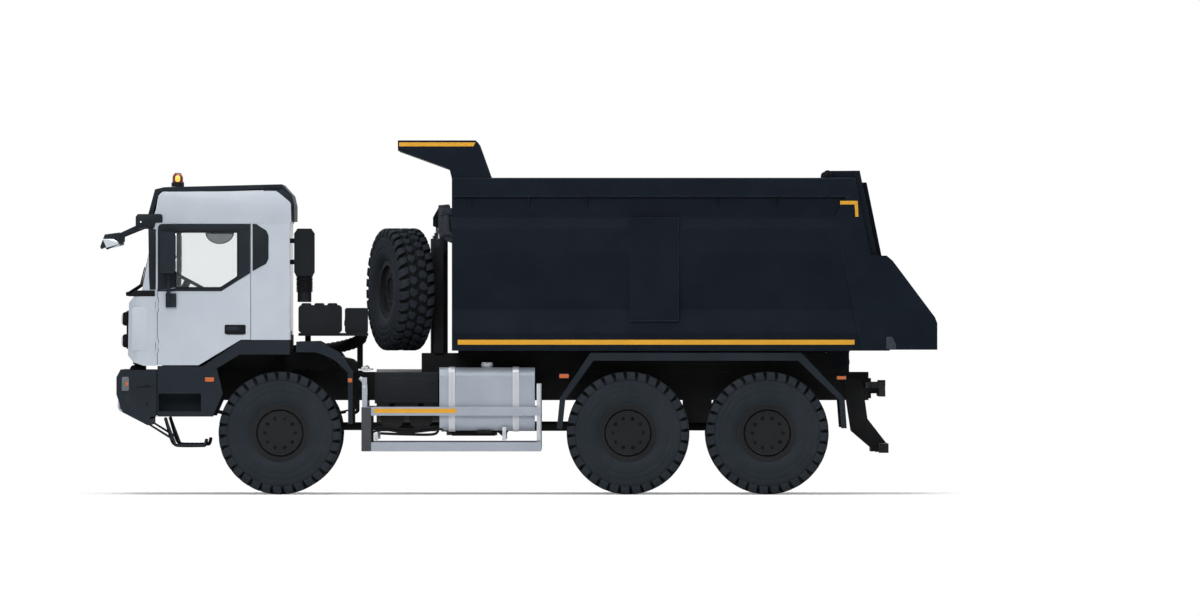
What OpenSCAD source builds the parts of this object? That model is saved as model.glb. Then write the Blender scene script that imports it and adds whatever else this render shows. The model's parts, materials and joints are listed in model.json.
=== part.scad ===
// Three-axle dump truck with a tilting day cab, a steel tipping bed and a front hoist.
// +Z is up, the cab faces -X, and the origin lies on the ground under the middle of the truck.

/* [Wheels and axles] */
// Outer diameter of a tyre
tyre_d = 1270; // [1050:5:1300]
// Width of a tyre
tyre_w = 380; // [300:5:390]
// Outer diameter of a rim's flange
rim_d = 600; // [500:5:720]
// Distance between the tyre centres of one axle
track_w = 2090; // [2000:5:2110]
// Place of the front axle along the truck
front_x = -2470; // [-2600:10:-2400]
// Front axle to the middle axle
wheelbase = 3600; // [3550:10:4400]
// Middle axle to the rear axle
bogie_gap = 1440; // [1400:10:1800]
// Diameter of the journals that the hubs turn on
journal_d = 110; // [80:2:140]

/* [Frame] */
// Width over the frame rails
frame_w = 860; // [800:10:900]
// Height of the underside of the frame rails
rail_z = 972; // [960:2:1000]
// Height of a frame rail
rail_h = 292; // [240:2:300]
// Width of a rail's flanges
flange_w = 90; // [70:2:100]
// Thickness of the rails' steel
rail_t = 12; // [8:1:16]
// Height of the tipper subframe on the rails
subframe_h = 197; // [120:1:200]
// Front axle to the front end of the rails
front_overhang = 1560; // [1400:10:1600]
// Rear axle to the rear end of the rails
rear_overhang = 1057; // [1000:5:1200]

/* [Cab] */
// Width of the cab over its doors
cab_w = 2500; // [2300:10:2520]
// Front axle to the front edge of the doors
door_lead = 1270; // [1200:10:1400]
// Length of a door
door_len = 972; // [860:2:1080]
// Height of the bottom of the doors
door_z = 1338; // [1330:2:1360]
// Height of the top of the doors
door_top_z = 2800; // [2700:10:2850]
// Thickness of the doors and side walls
door_t = 80; // [60:2:110]
// Thickness of the window glass
glass_t = 8; // [5:1:16]
// Height of the top of the roof
roof_z = 3209; // [3100:1:3260]
// Height of the cab's tilt pivot
cab_pivot_z = 1290; // [1270:2:1310]
// Diameter of the cab's tilt pins
cab_pin_d = 50; // [30:2:60]

/* [Bed] */
// Width of the bed over its side rails
bed_w = 2550; // [2400:10:2550]
// Length of the bed from its front wall to the end of its chute
bed_len = 5019; // [4600:10:5100]
// Height of the top of the side walls
bed_top_z = 3264; // [2900:2:3400]
// Height of the floor plate's upper face
floor_z = 1670; // [1660:1:1700]
// Thickness of the floor plate
floor_t = 60; // [20:1:60]
// Thickness of the side walls at their top rail
wall_t = 110; // [90:2:160]
// Thickness of the front wall
headboard_t = 60; // [30:2:100]
// Thickness of the tailgate
tailgate_t = 64; // [40:2:80]
// Diameter of the tipping pins at the rear of the frame
tip_pin_d = 80; // [50:2:100]
// Rear axle to the tipping pins
tip_overhang = 766; // [700:2:850]
// Height of the tipping pins
tip_z = 1368; // [1340:2:1380]

/* [Hoist] */
// Outer diameter of the hoist's barrel
barrel_d = 180; // [140:2:190]
// Step in diameter from each hoist stage to the next
stage_step = 34; // [24:2:36]
// Height of the pin at the foot of the hoist
hoist_z = 1350; // [1340:2:1380]
// Height of the hoist's upper eye
hoist_eye_z = 2830; // [2700:5:2860]
// Width of the hoist's upper eye
hoist_eye_w = 90; // [60:2:110]

/* [Equipment] */
// Length of the fuel tank
tank_len = 985; // [700:5:985]
// Height of the fuel tank
tank_h = 652; // [400:2:652]
// Yaw of the spare wheel on its carrier
spare_yaw = 18; // [0:1:20]
// Thickness of the mudguards' plates
guard_t = 55; // [20:1:60]

/* [Hidden] */

// Clearances: between moving pieces, and at a running pin
move_gap = 5;
pin_gap = 0.3;

// Axles
mid_x = front_x + wheelbase;
rear_x = mid_x + bogie_gap;
wheel_z = tyre_d / 2;
track_y = track_w / 2;
kingpin_y = track_y - 100;
journal_r = journal_d / 2;
hub_r = journal_r + 75;
seat_r = rim_d / 2 - 38;  // radius on which the tyre's beads sit
bead_w = tyre_w / 2 - 55; // half the width between the rim's flanges
disc_in = 96;            // from the tyre's middle out to the wheel disc
hub_in = -20;            // from the tyre's middle to the hub's inner end
journal_out = 90;        // from the tyre's middle out to the journal's end
journal_y = track_y + journal_out;

// Frame and what it carries
rail_y = frame_w / 2;
flange_y = rail_y - flange_w;
rail_top = rail_z + rail_h;
sub_top = rail_top + subframe_h;
frame_front = front_x - front_overhang;
frame_rear = rear_x + rear_overhang;
tip_x = rear_x + tip_overhang;
case_x = [front_x + 1770, front_x + 2220];   // front and rear faces of the transfer case
tip_pin_r = tip_pin_d / 2;

// Cab
cab_y = cab_w / 2;
door_x = front_x - door_lead;
door_rear_x = door_x + door_len;
inner_y = cab_y - door_t;
cab_rear_x = door_rear_x + 400;
cab_front_x = door_x - 300;
cab_pivot_x = door_x - 250;
cab_ear_r = 48;           // round end of the ears and arms at the tilt pins
belt_z = 2100;           // top of the front panel and foot of the windscreen

// Bed
bed_y = bed_w / 2;
bed_in_y = bed_y - wall_t;
bed_rear_x = tip_x + 991;
bed_front_x = bed_rear_x - bed_len;
hoist_x = bed_front_x - 140;
gate_pivot_x = tip_x - 142;
gate_pivot_z = bed_top_z + 45;

module mirrored_y() {
    children();
    mirror([0, 1, 0]) children();
}

// A solid whose outline lies in the XZ plane, from y0 to y1
module side_extrude(y0, y1) {
    translate([0, y1, 0]) rotate([90, 0, 0]) linear_extrude(y1 - y0) children();
}

module box(x0, x1, y0, y1, z0, z1) {
    translate([x0, y0, z0]) cube([x1 - x0, y1 - y0, z1 - z0]);
}

// A cylinder along Y from y0 to y1 around the point x, z
module y_rod(x, z, y0, y1, r) {
    translate([x, y0, z]) rotate([-90, 0, 0]) cylinder(h = y1 - y0, r = r, $fn = 48);
}

// A cylinder along X from x0 to x1 around the point y, z
module x_rod(x0, x1, y, z, r) {
    translate([x0, y, z]) rotate([0, 90, 0]) cylinder(h = x1 - x0, r = r, $fn = 48);
}

// A box along X whose four long edges are rounded
module rounded_bar(x0, x1, y0, y1, z0, z1, r) {
    box(x0, x1, y0 + r, y1 - r, z0, z1);
    box(x0, x1, y0, y1, z0 + r, z1 - r);
    for (y = [y0 + r, y1 - r], z = [z0 + r, z1 - r]) x_rod(x0, x1, y, z, r);
}

// A box whose four edges along Y are rounded
module rounded_slab(x0, x1, y0, y1, z0, z1, r) {
    box(x0 + r, x1 - r, y0, y1, z0, z1);
    box(x0, x1, y0, y1, z0 + r, z1 - r);
    for (x = [x0 + r, x1 - r], z = [z0 + r, z1 - r]) y_rod(x, z, y0, y1, r);
}

// ---- Wheels ----

// A tyre around the Y axis; +Y is its outer side
module tyre() {
    r = tyre_d / 2;
    w = tyre_w / 2;
    rotate([-90, 0, 0]) rotate_extrude($fn = 96) polygon([
        [seat_r, -bead_w], [rim_d / 2 + 2, -bead_w], [rim_d / 2 + 8, -w + 38],
        [rim_d / 2 + 60, -w + 14],
        [(r + rim_d / 2) / 2, -w], [r - 90, -w + 4], [r - 40, -w + 22], [r - 6, -w + 32],
        [r, -w + 60], [r, w - 60], [r - 6, w - 32], [r - 40, w - 22], [r - 90, w - 4],
        [(r + rim_d / 2) / 2, w], [rim_d / 2 + 60, w - 14], [rim_d / 2 + 8, w - 38],
        [rim_d / 2 + 2, bead_w], [seat_r, bead_w]]);
}

// A rim around the Y axis with its disc, hub and the blind bore for the journal
module rim(with_hub = true) {
    bolts = 10;
    bolt_circle_r = 158;
    pocket_r = 21;
    disc_t = 16;
    cover_t = 26; // hub cover outside the disc
    difference() {
        rotate([-90, 0, 0]) union() {
            rotate_extrude($fn = 96) polygon([
                [seat_r - 14, -bead_w - 12], [rim_d / 2, -bead_w - 12], [rim_d / 2, -bead_w],
                [seat_r, -bead_w], [seat_r, bead_w], [rim_d / 2, bead_w],
                [rim_d / 2, bead_w + 12], [seat_r - 14, bead_w + 12]]);
            translate([0, 0, disc_in]) cylinder(h = disc_t, r = seat_r - 7, $fn = 96);
            if (with_hub) {
                translate([0, 0, hub_in]) cylinder(h = disc_in - hub_in, r = hub_r, $fn = 64);
                translate([0, 0, disc_in]) cylinder(h = disc_t + cover_t, r = 228, $fn = 96);
            }
        }
        if (with_hub) {
            y_rod(0, 0, hub_in - 1, journal_out + pin_gap, journal_r + pin_gap);
        } else {
            y_rod(0, 0, disc_in - 1, disc_in + disc_t + 1, 125);
        }
        for (i = [0 : bolts - 1]) rotate([0, i * 360 / bolts, 0])
            y_rod(bolt_circle_r, 0, disc_in + (with_hub ? disc_t : -1),
                disc_in + disc_t + cover_t + 1, pocket_r);
    }
}

// Puts a left wheel's children at an axle; the right one is its mirror image
module at_wheel(x, side) {
    translate([x, side * track_y, wheel_z]) mirror([0, side < 0 ? 1 : 0, 0]) children();
}

wheel_places = [["front", front_x], ["middle", mid_x], ["rear", rear_x]];
wheel_sides = [["left", -1], ["right", 1]];

module wheels() {
    for (place = wheel_places, side = wheel_sides) {
        name = str(place[0], "_", side[0]);
        color([0.15, 0.17, 0.19]) at_wheel(place[1], side[1]) tyre();
        color([0.18, 0.18, 0.19]) at_wheel(place[1], side[1]) rim();
    }
}

// The yoke around the axle's eye and the journal that carries the front wheel; side is -1 or 1
eye_r = 52;
eye_h = 170;
yoke_in = kingpin_y + eye_r + move_gap;     // inner face of the yoke's plate
module knuckle(side) {
    color([0.13, 0.13, 0.14]) mirror([0, side < 0 ? 1 : 0, 0]) difference() {
        union() {
            for (z = [wheel_z - eye_h / 2 - 50, wheel_z + eye_h / 2 + move_gap]) {
                translate([front_x, kingpin_y, z]) cylinder(h = 45, r = 60, $fn = 48);
                box(front_x - 60, front_x + 60, kingpin_y, yoke_in + 5, z, z + 45);
            }
            y_rod(front_x, wheel_z, yoke_in, track_y + hub_in - move_gap, 138);
            y_rod(front_x, wheel_z, yoke_in + 5, journal_y, journal_r);
        }
        translate([front_x, kingpin_y, wheel_z - eye_h])
            cylinder(h = 2 * eye_h, r = 25 + pin_gap, $fn = 48);
    }
}

// ---- Frame and running gear ----

crossmembers = [frame_front + 60, front_x - 620, front_x + 20, front_x + 1080,
                front_x + 1308, case_x[1] - 95, hoist_x + 760, mid_x - 300, mid_x + bogie_gap / 2,
                rear_x + 420];
crossmember_w = 80;
crossmember_h = 28;          // a low plate, so that the engine and the shafts pass over it
frame_end_t = 20;

module chassis_frame() {
    color([0.09, 0.09, 0.1]) {
        mirrored_y() difference() {
            box(frame_front, frame_rear, flange_y, rail_y, rail_z, rail_top);
            box(frame_front - 1, frame_rear + 1, flange_y - 1, rail_y - rail_t,
                rail_z + rail_t, rail_top - rail_t);
        }
        for (x = crossmembers)
            box(x, x + crossmember_w, -flange_y - 20, flange_y + 20, rail_z, rail_z + crossmember_h);
        box(frame_rear - frame_end_t, frame_rear, -flange_y, flange_y, rail_z, rail_top);
        // Brackets for the cab's tilt pins
        mirrored_y() difference() {
            union() {
                box(cab_pivot_x - 40, cab_pivot_x + cab_ear_r, rail_y, rail_y + 40,
                    rail_z + 60, cab_pivot_z);
                y_rod(cab_pivot_x, cab_pivot_z, rail_y, rail_y + 40, cab_ear_r);
            }
            y_rod(cab_pivot_x, cab_pivot_z, rail_y - 1, rail_y + 41, cab_pin_d / 2 + pin_gap);
        }
        // Posts that carry the back of the cab
        mirrored_y() box(cab_rear_x - 160, cab_rear_x - 60, flange_y + 20, rail_y,
                         rail_top, cab_floor_z(2) - pin_gap);
    }
}

// Underside of the cab's floor: 1 is the footwell, 2 is the raised part behind it
function cab_floor_z(level) = level == 1 ? door_z + 10 : door_z + 262;

module tipper_subframe() {
    front = bed_front_x - 320;
    rear = tip_x + 90;
    color([0.1, 0.1, 0.11]) {
        difference() {
            union() {
                mirrored_y() box(front, rear, flange_y, rail_y, rail_top, sub_top);
                // Cross-members; the hoist swings between the first and the second
                for (x = [front, hoist_x + 420, mid_x - 200, mid_x + bogie_gap / 2, rear_x + 300])
                    box(x, x + 90, -flange_y, flange_y, rail_top, rail_top + 120);
                // Hoist bearers along the truck, with the bores for the hoist's foot
                mirrored_y() box(front + 90, hoist_x + 420, barrel_d / 2 + 25, barrel_d / 2 + 65,
                                 rail_top, rail_top + 150);
                mirrored_y() y_rod(tip_x, tip_z, flange_y, rail_y, 95);
            }
            mirrored_y() y_rod(tip_x, tip_z, flange_y - 1, rail_y + 1, tip_pin_r + pin_gap);
            mirrored_y() y_rod(hoist_x, hoist_z, barrel_d / 2, barrel_d / 2 + 66, 35 + pin_gap);
        }
    }
}

engine_bottom = rail_z + crossmember_h;
engine_rear_x = front_x + 120;
module engine_block() {
    color([0.3, 0.31, 0.32])
        box(frame_front + 420, engine_rear_x, -flange_y + 14, flange_y - 14, engine_bottom, 1650);
}

shaft_z = 700;
gear_shaft_z = 1080;
diff_nose = 250;                             // from an axle to its pinion flange
module shaft(x0, x1, z, r) {
    x_rod(x0, x1, 0, z, r);
    x_rod(x0, x0 + 22, 0, z, r * 1.9);
    x_rod(x1 - 22, x1, 0, z, r * 1.9);
    for (x = [x0 + 22, x1 - 110]) x_rod(x, x + 88, 0, z, r * 1.35);
}

module driveline() {
    color([0.14, 0.14, 0.15]) {
        rounded_bar(case_x[0], case_x[1], -190, 190, 600, rail_z, 60);
        rounded_bar(case_x[0], case_x[1] - 100, -110, 110, rail_z - 100, gear_shaft_z + 90, 30);
        shaft(engine_rear_x, case_x[0], gear_shaft_z, 45);
        shaft(front_x + diff_nose, case_x[0], shaft_z, 42);
        shaft(case_x[1], mid_x - diff_nose, shaft_z, 50);
        shaft(mid_x + diff_nose, rear_x - diff_nose, shaft_z, 46);
    }
}

spring_y = [flange_y + 4, rail_y - 4];       // inner and outer face of a spring pack
front_pad_z = wheel_z + 80;
rear_pad_z = wheel_z + 105;
module axle_beam(x, end_y, pad_z, bowl_r, noses) {
    y_rod(x, wheel_z, -end_y, end_y, 78);
    translate([x, 0, wheel_z]) sphere(r = bowl_r, $fn = 48);
    for (nose = noses) {
        x_end = x + nose * diff_nose;
        x_rod(min(x, x_end), max(x, x_end), 0, shaft_z, 95);
    }
    mirrored_y() box(x - 75, x + 75, spring_y[0], spring_y[1], wheel_z, pad_z);
}

module axles() {
    drum_in = track_y - 185;
    drum_out = track_y + hub_in - move_gap;
    color([0.13, 0.13, 0.14]) {
        axle_beam(front_x, kingpin_y - 75, front_pad_z, 185, [1]);
        mirrored_y() {
            box(front_x - 50, front_x + 50, kingpin_y - 180, kingpin_y, wheel_z - 60, wheel_z + 60);
            translate([front_x, kingpin_y, wheel_z - eye_h / 2])
                cylinder(h = eye_h, r = eye_r, $fn = 48);
            translate([front_x, kingpin_y, wheel_z - eye_h / 2 - 50])
                cylinder(h = eye_h + 100, r = 25, $fn = 48);
        }
        for (axle = [[mid_x, [-1, 1]], [rear_x, [-1]]]) {
            axle_beam(axle[0], drum_in + 10, rear_pad_z, 205, axle[1]);
            mirrored_y() {
                y_rod(axle[0], wheel_z, drum_in, drum_out, 200);
                y_rod(axle[0], wheel_z, drum_out - 1, journal_y, journal_r);
            }
        }
    }
}

// A stack of curved leaves: the underside is at z0 under the middle and at z0 + rise at the ends
// A stack of leaves in one outline: smooth on its long leaf's side, stepped on the other
module leaf_pack(x, half, z0, rise, leaves, leaf_t) {
    steps = 10;
    taper = 0.62;
    side = rise > 0 ? -1 : 1;
    smooth_z = rise > 0 ? z0 + leaves * leaf_t : z0;
    function span(i) = half * (1 - taper * i / leaves);
    stepped = concat(
        [for (i = [0 : leaves - 1]) each [[-span(i), i], [-span(i), i + 1]]],
        [[0, leaves]],
        [for (i = [leaves - 1 : -1 : 0]) each [[span(i), i + 1], [span(i), i]]]);
    smooth = [for (s = [steps - 1 : -1 : 1 - steps]) [s / steps * half, 0]];
    side_extrude(spring_y[0], spring_y[1]) translate([x, smooth_z]) polygon(
        [for (p = concat(stepped, smooth)) [p[0], rise * pow(p[0] / half, 2) + side * p[1] * leaf_t]]);
}

module leaf_springs() {
    leaf_t = 16;
    half = 760;
    rise = 95;
    front_leaves = 5;
    end_z = front_pad_z + rise + front_leaves * leaf_t;
    arch = 60;
    rear_leaves = 7;
    low_z = rear_pad_z + arch;
    color([0.16, 0.16, 0.17]) mirrored_y() {
        leaf_pack(front_x, half, front_pad_z, rise, front_leaves, leaf_t);
        for (x = [front_x - half, front_x + half])
            difference() {
                union() {
                    box(x - 45, x + 45, spring_y[0], spring_y[1], end_z - 30, rail_z);
                    y_rod(x, end_z - 20, spring_y[0], spring_y[1], 45);
                }
                y_rod(x, end_z - 20, spring_y[0] - 1, spring_y[1] + 1, 15);
            }
        // The bogie's packs are carried in the middle and rest on both axles
        leaf_pack(mid_x + bogie_gap / 2, bogie_gap / 2 + 70, low_z, -arch, rear_leaves, leaf_t);
        box(mid_x + bogie_gap / 2 - 150, mid_x + bogie_gap / 2 + 150, spring_y[0], spring_y[1],
            low_z - 60, rail_z);
    }
}

// ---- Chassis equipment ----

bumper_front_x = door_x - 420;
module front_bumper() {
    wall = 40;
    pin_r = 20;
    color([0.15, 0.18, 0.21]) stirrups();
    color([0.15, 0.18, 0.21]) difference() {
        side_extrude(-cab_y + 5, cab_y - 5) polygon([
            [bumper_front_x + 40, 1288], [bumper_front_x, 1214], [bumper_front_x, 1034],
            [bumper_front_x + 64, 850], [bumper_front_x + 320, 717], [door_x - 70, 717],
            [door_x - 70, 806], [door_x - move_gap, 806], [door_x - move_gap, 1288]]);
        // Hollow behind its face, open to the rear around the frame
        side_extrude(-cab_y + 5 + wall, cab_y - 5 - wall) polygon([
            [frame_front, 1400], [frame_front, 900],
            [bumper_front_x + 330, 780], [door_x + 10, 780], [door_x + 10, 1400]]);
        translate([bumper_front_x + 75, 0, 880]) cylinder(h = 460, r = pin_r, $fn = 48);
        box(bumper_front_x - 1, bumper_front_x + 110, -130, 130, 1040, 1150);
        mirrored_y() box(bumper_front_x - 1, bumper_front_x + lamp_pocket[2],
            lamp_pocket[0][0], lamp_pocket[0][1], lamp_pocket[1][0], lamp_pocket[1][1]);
        // Room for the cab's tilt arms
        mirrored_y() box(frame_front - 20, frame_front + 1, rail_y, rail_y + 95, 1225, 1300);
    }
}

// Stirrups that hang from the bumper below the entry steps
module stirrups() {
    y1 = cab_y - 15;
    top = 799;
    tread_z = [502, 520];
    mirrored_y() {
        side_extrude(y1 - 130, y1) polygon([
            [door_x + 75, top], [door_x + 95, top], [door_x + 200, tread_z[1]],
            [door_x + 480, tread_z[1]], [door_x + 500, 575], [door_x + 514, 570],
            [door_x + 492, tread_z[0]], [door_x + 186, tread_z[0]], [door_x + 162, 560],
            [door_x - 85, 717], [door_x - 72, 730], [door_x + 148, 596]]);
    }
}

// Each row: centre x, y, z, then length, width and height
// Pocket of a head lamp in the bumper: inner and outer side, bottom and top, depth
lamp_pocket = [[750, 1150], [990, 1210], 70];
tail_lamp = [[690, 1110], [1012, 1162], 62];

module lamps() {
    edge = 10;
    arm_z = [1100, 1160];
    stand_off = 102;
    color([0.75, 0.3, 0.1]) mirrored_y() {
        box(frame_rear + stand_off, frame_rear + stand_off + tail_lamp[2],
            tail_lamp[0][0], tail_lamp[0][1], tail_lamp[1][0], tail_lamp[1][1]);
        // Arm from the rail's end
        box(frame_rear - 40, frame_rear, rail_y, tail_lamp[0][1] - 60, arm_z[0], arm_z[1]);
        box(frame_rear, frame_rear + stand_off, tail_lamp[0][0] + 150, tail_lamp[0][1] - 150,
            arm_z[0], arm_z[1]);
    }
    color([0.9, 0.92, 0.95]) mirrored_y()
        box(bumper_front_x + 22, bumper_front_x + lamp_pocket[2],
            lamp_pocket[0][0] + edge, lamp_pocket[0][1] - edge,
            lamp_pocket[1][0] + edge, lamp_pocket[1][1] - edge);
}

module mudguards() {
    y0 = track_y - tyre_w / 2 - 20;
    y1 = track_y + tyre_w / 2;
    top = 1465;
    low = top - guard_t - 25;
    x0 = mid_x - wheel_z + 246;
    x1 = rear_x + 350;
    flap_x = front_x + 705;
    color([0.17, 0.18, 0.2]) mirrored_y() {
        side_extrude(y0, y1) polygon([
            [x0, top], [x1, top], [rear_x + 800, 990], [rear_x + 822, 685],
            [rear_x + 822 - guard_t, 685], [rear_x + 800 - guard_t, 975], [x1 - 30, low],
            [x0 + 30, low], [mid_x - 706 + guard_t, 980], [mid_x - 737 + guard_t, 681],
            [mid_x - 737, 681], [mid_x - 706, 993]]);
        for (x = [x0 + 60, mid_x + bogie_gap / 2 - 25, x1 - 110])
            box(x, x + 50, rail_y, y0, low, low + 50);
        // Arch and flap behind a front wheel, clear of it at full lock
        side_extrude(y0, cab_y - 15) polygon([
            [front_x + 169, 1581], [front_x + 391, 1586], [front_x + 610, 1473],
            [flap_x + 46, 1278], [flap_x + 46, 729], [flap_x, 729], [flap_x, 1262],
            [front_x + 570, 1388], [front_x + 387, 1472], [front_x + 169, 1472]]);
        box(flap_x, flap_x + 46, rail_y, y0 + 1, 1190, 1240);
    }
}

box_x = front_x + 190;
module equipment_box() {
    color([0.12, 0.13, 0.15]) {
        rounded_slab(box_x, box_x + 447, -cab_y + 110, -cab_y + 560, 1669, 1960, 40);
        for (i = [0 : 2])
            rounded_slab(box_x + 30 + i * 135, box_x + 130 + i * 135, -cab_y + 150, -cab_y + 520,
                         1940, 1980, 18);
        rounded_slab(box_x + 480, box_x + 716, -cab_y + 160, -cab_y + 560, 1669, 1930, 25);
        // Shelf on two posts from the rail
        box(box_x, box_x + 716, -cab_y + 120, -rail_y, 1640, 1670);
        for (x = [box_x + 60, box_x + 600])
            box(x, x + 60, -rail_y - 60, -rail_y, rail_top - 200, 1650);
    }
}

service_x = front_x + 980;                   // front face of the battery box
tank_x = service_x + 670;
service_y = [rail_y, cab_y - 70];            // inner and outer faces of what hangs on the rails
module battery_box() {
    color([0.13, 0.14, 0.16])
        rounded_bar(service_x, tank_x - 15, -service_y[1], -service_y[0], 941, rail_top, 15);
}

module air_tanks() {
    color([0.17, 0.17, 0.18]) {
        for (x = [service_x + 177, service_x + 474]) {
            y_rod(x, 789, -service_y[1] + 40, -service_y[0] - 60, 118);
            for (y = [-service_y[1] + 160, -service_y[0] - 200])
                box(x - 25, x + 25, y, y + 30, 800, 941);
        }
        box(service_x + 40, tank_x - 40, -service_y[1] + 120, -service_y[0] - 60, 652, 676);
        for (x = [service_x + 120, service_x + 520])
            box(x, x + 20, -service_y[1] + 200, -service_y[0] - 200, 670, 690);
    }
}

module fuel_tank() {
    top = 1314;
    y0 = rail_y + 110;
    color([0.59, 0.62, 0.66]) {
        rounded_bar(tank_x, tank_x + tank_len, -service_y[1], -y0, top - tank_h, top, 90);
        for (x = [tank_x + 96, tank_x + tank_len - 228]) {
            rounded_bar(x, x + 67, -service_y[1] - 5, -y0, top - tank_h - 5, top + 5, 93);
            box(x, x + 67, -y0 - 60, -rail_y, rail_z + 20, rail_top - 20);
        }
        translate([tank_x + tank_len / 2, -service_y[1] + 200, top - 10])
            cylinder(h = 60, r = 55, $fn = 48);
    }
}

module silencer() {
    y0 = rail_y + 90;
    color([0.4, 0.41, 0.43]) {
        rounded_bar(service_x, service_x + 900, y0, service_y[1], 690, 1290, 70);
        for (x = [service_x + 150, service_x + 690])
            box(x, x + 60, rail_y, y0 + 80, rail_z + 30, rail_top - 30);
        translate([service_x + 780, cab_y - 260, 600]) cylinder(h = 120, r = 55, $fn = 48);
        rounded_bar(service_x + 960, service_x + 1560, y0, service_y[1], 760, 1290, 60);
        for (x = [service_x + 1100, service_x + 1360])
            box(x, x + 60, rail_y, y0 + 80, rail_z + 30, rail_top - 30);
    }
}

module side_guards() {
    x0 = front_x + 845;
    x1 = mid_x - 897;
    y0 = cab_y - 40;
    color([0.58, 0.61, 0.65]) mirrored_y() {
        for (rail = [[x0 + 94, 817, 907], [x0 + 94, 446, 541]])
            box(rail[0], x1, y0, y0 + 30, rail[1], rail[2]);
        box(x0, x0 + 94, y0, y0 + 30, 446, 907);
        box(x0 + 5, x0 + 55, y0 - 30, y0, 600, 1210);
        box(x1 - 47, x1, y0 - 30, y0, 446, 1149);
        for (x = [x0 + 5, x1 - 47]) box(x, x + 47, rail_y, y0 - 29, 1080, 1140);
        box(x0 + 5, x0 + 52, y0 - 30, y0 - 29, 1080, 1140);
    }
}

spare_at = [bed_front_x - 538, -300, 2122];
module spare_pose() {
    translate(spare_at) rotate([0, 0, 90 + spare_yaw]) children();
}

module spare_tyre() {
    color([0.15, 0.16, 0.18]) spare_pose() tyre();
}

module spare_rim() {
    color([0.16, 0.16, 0.17]) spare_pose() rim(false);
}

module spare_carrier() {
    post_x = bed_front_x - 195;
    plate = 24;
    color([0.11, 0.12, 0.13]) {
        for (y = [-480, -250]) box(post_x, post_x + 100, y, y + 60, sub_top, 2560);
        for (z = [1900, 2480]) box(post_x, post_x + 100, -480, -190, z, z + 70);
        box(post_x, post_x + 100, -480, -190, sub_top, sub_top + 60);
        // Arm and plate that the wheel's disc is bolted to
        spare_pose() y_rod(0, 0, -365, disc_in, 60);
        spare_pose() y_rod(0, 0, disc_in - plate, disc_in, 190);
    }
}

module underrun_bar() {
    color([0.18, 0.18, 0.18]) {
        mirrored_y() side_extrude(rail_y, rail_y + 30) polygon([
            [frame_rear - 260, rail_top - 60], [frame_rear - 177, 650], [frame_rear + 80, 430],
            [frame_rear + 182, 531], [frame_rear - 11, 780], [frame_rear - 42, 1004],
            [frame_rear - 60, rail_top - 60]]);
        box(frame_rear + 103, frame_rear + 198, -1150, 1150, 430, 526);
        box(frame_rear + 20, frame_rear + 110, -rail_y - 30, rail_y + 30, 440, 500);
    }
}

module tow_coupling() {
    x0 = frame_rear;
    jaw_x = x0 + 130;
    color([0.2, 0.2, 0.21]) difference() {
        union() {
            box(x0, x0 + 30, -150, 150, 990, 1200);
            box(x0 + 30, jaw_x, -70, 70, 1040, 1150);
            box(jaw_x - 30, jaw_x + 50, -90, 90, 1010, 1180);
        }
        box(jaw_x - 25, jaw_x + 51, -91, 91, 1065, 1125);
        translate([jaw_x + 10, 0, 1000]) cylinder(h = 200, r = 20, $fn = 48);
    }
}

// ---- Cab ----

cab_skin = 40;
header_z = 2745;             // top of the windscreen
panel_gap = 6;
door_sill = 430;             // length of the level part of a door's lower edge
tunnel_y = 400;              // half the width of the engine tunnel
tunnel_z = 1690;

module cab_floor() {
    low = cab_floor_z(1);
    high = cab_floor_z(2);
    front = door_x - 250;
    rear = cab_rear_x - cab_skin;
    sheet = 40;
    arm_y = rail_y + 40 + move_gap;
    color([0.2, 0.21, 0.22]) {
        mirrored_y() {
            side_extrude(tunnel_y, inner_y - move_gap) polygon([
                [front, low], [door_x + door_sill, low], [door_x + door_sill + 437, high],
                [rear, high], [rear, high + sheet], [door_x + door_sill + 420, high + sheet],
                [door_x + door_sill - 12, low + sheet], [front, low + sheet]]);
            side_extrude(tunnel_y - 30, tunnel_y) polygon([
                [front, low], [door_x + door_sill, low], [door_x + door_sill + 437, high],
                [rear, high], [rear, tunnel_z], [front, tunnel_z]]);
            // Arm and pin on which the cab tilts
            box(cab_pivot_x, cab_pivot_x + 100, arm_y, arm_y + 40, cab_pivot_z - 40, low + sheet);
            y_rod(cab_pivot_x, cab_pivot_z, arm_y, arm_y + 40, cab_ear_r);
            y_rod(cab_pivot_x, cab_pivot_z, rail_y, arm_y + 1, cab_pin_d / 2);
        }
        box(front, rear, -tunnel_y, tunnel_y, tunnel_z, tunnel_z + sheet);
    }
}

module cab_shell() {
    color([0.71, 0.74, 0.77]) {
        mirrored_y() side_extrude(inner_y, cab_y) polygon([
            [cab_rear_x, cab_floor_z(2)], [cab_rear_x, 3010], [cab_rear_x - 140, 3140],
            [door_x + 56, 3130], [door_x - 23, 2911], [door_x - 38, header_z],
            [door_x - 155, belt_z], [door_x, belt_z], [door_x + 100, door_top_z],
            [door_rear_x, door_top_z], [door_rear_x, cab_floor_z(2)]]);
        difference() {
            box(cab_rear_x - cab_skin, cab_rear_x, -inner_y, inner_y, cab_floor_z(2), 2985);
            box(cab_rear_x - cab_skin - 1, cab_rear_x + 1, -tunnel_y, tunnel_y,
                cab_floor_z(2) - 1, tunnel_z);
        }
    }
}

module cab_roof() {
    color([0.15, 0.18, 0.21]) side_extrude(-inner_y, inner_y) polygon([
        [door_x - 90, header_z], [door_x - 90, 2907], [door_x - 23, 3156], [door_x + 72, 3179],
        [cab_rear_x - 82, roof_z], [cab_rear_x + 22, roof_z - 115], [cab_rear_x + 46, roof_z - 219],
        [cab_rear_x + 46, 2829], [cab_rear_x, 2829], [cab_rear_x, 2985],
        [cab_rear_x - 24, roof_z - 135], [cab_rear_x - 100, roof_z - 45], [door_x + 85, 3134],
        [door_x + 15, 3120], [door_x - 45, 2907], [door_x - 35, header_z]]);
}

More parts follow.
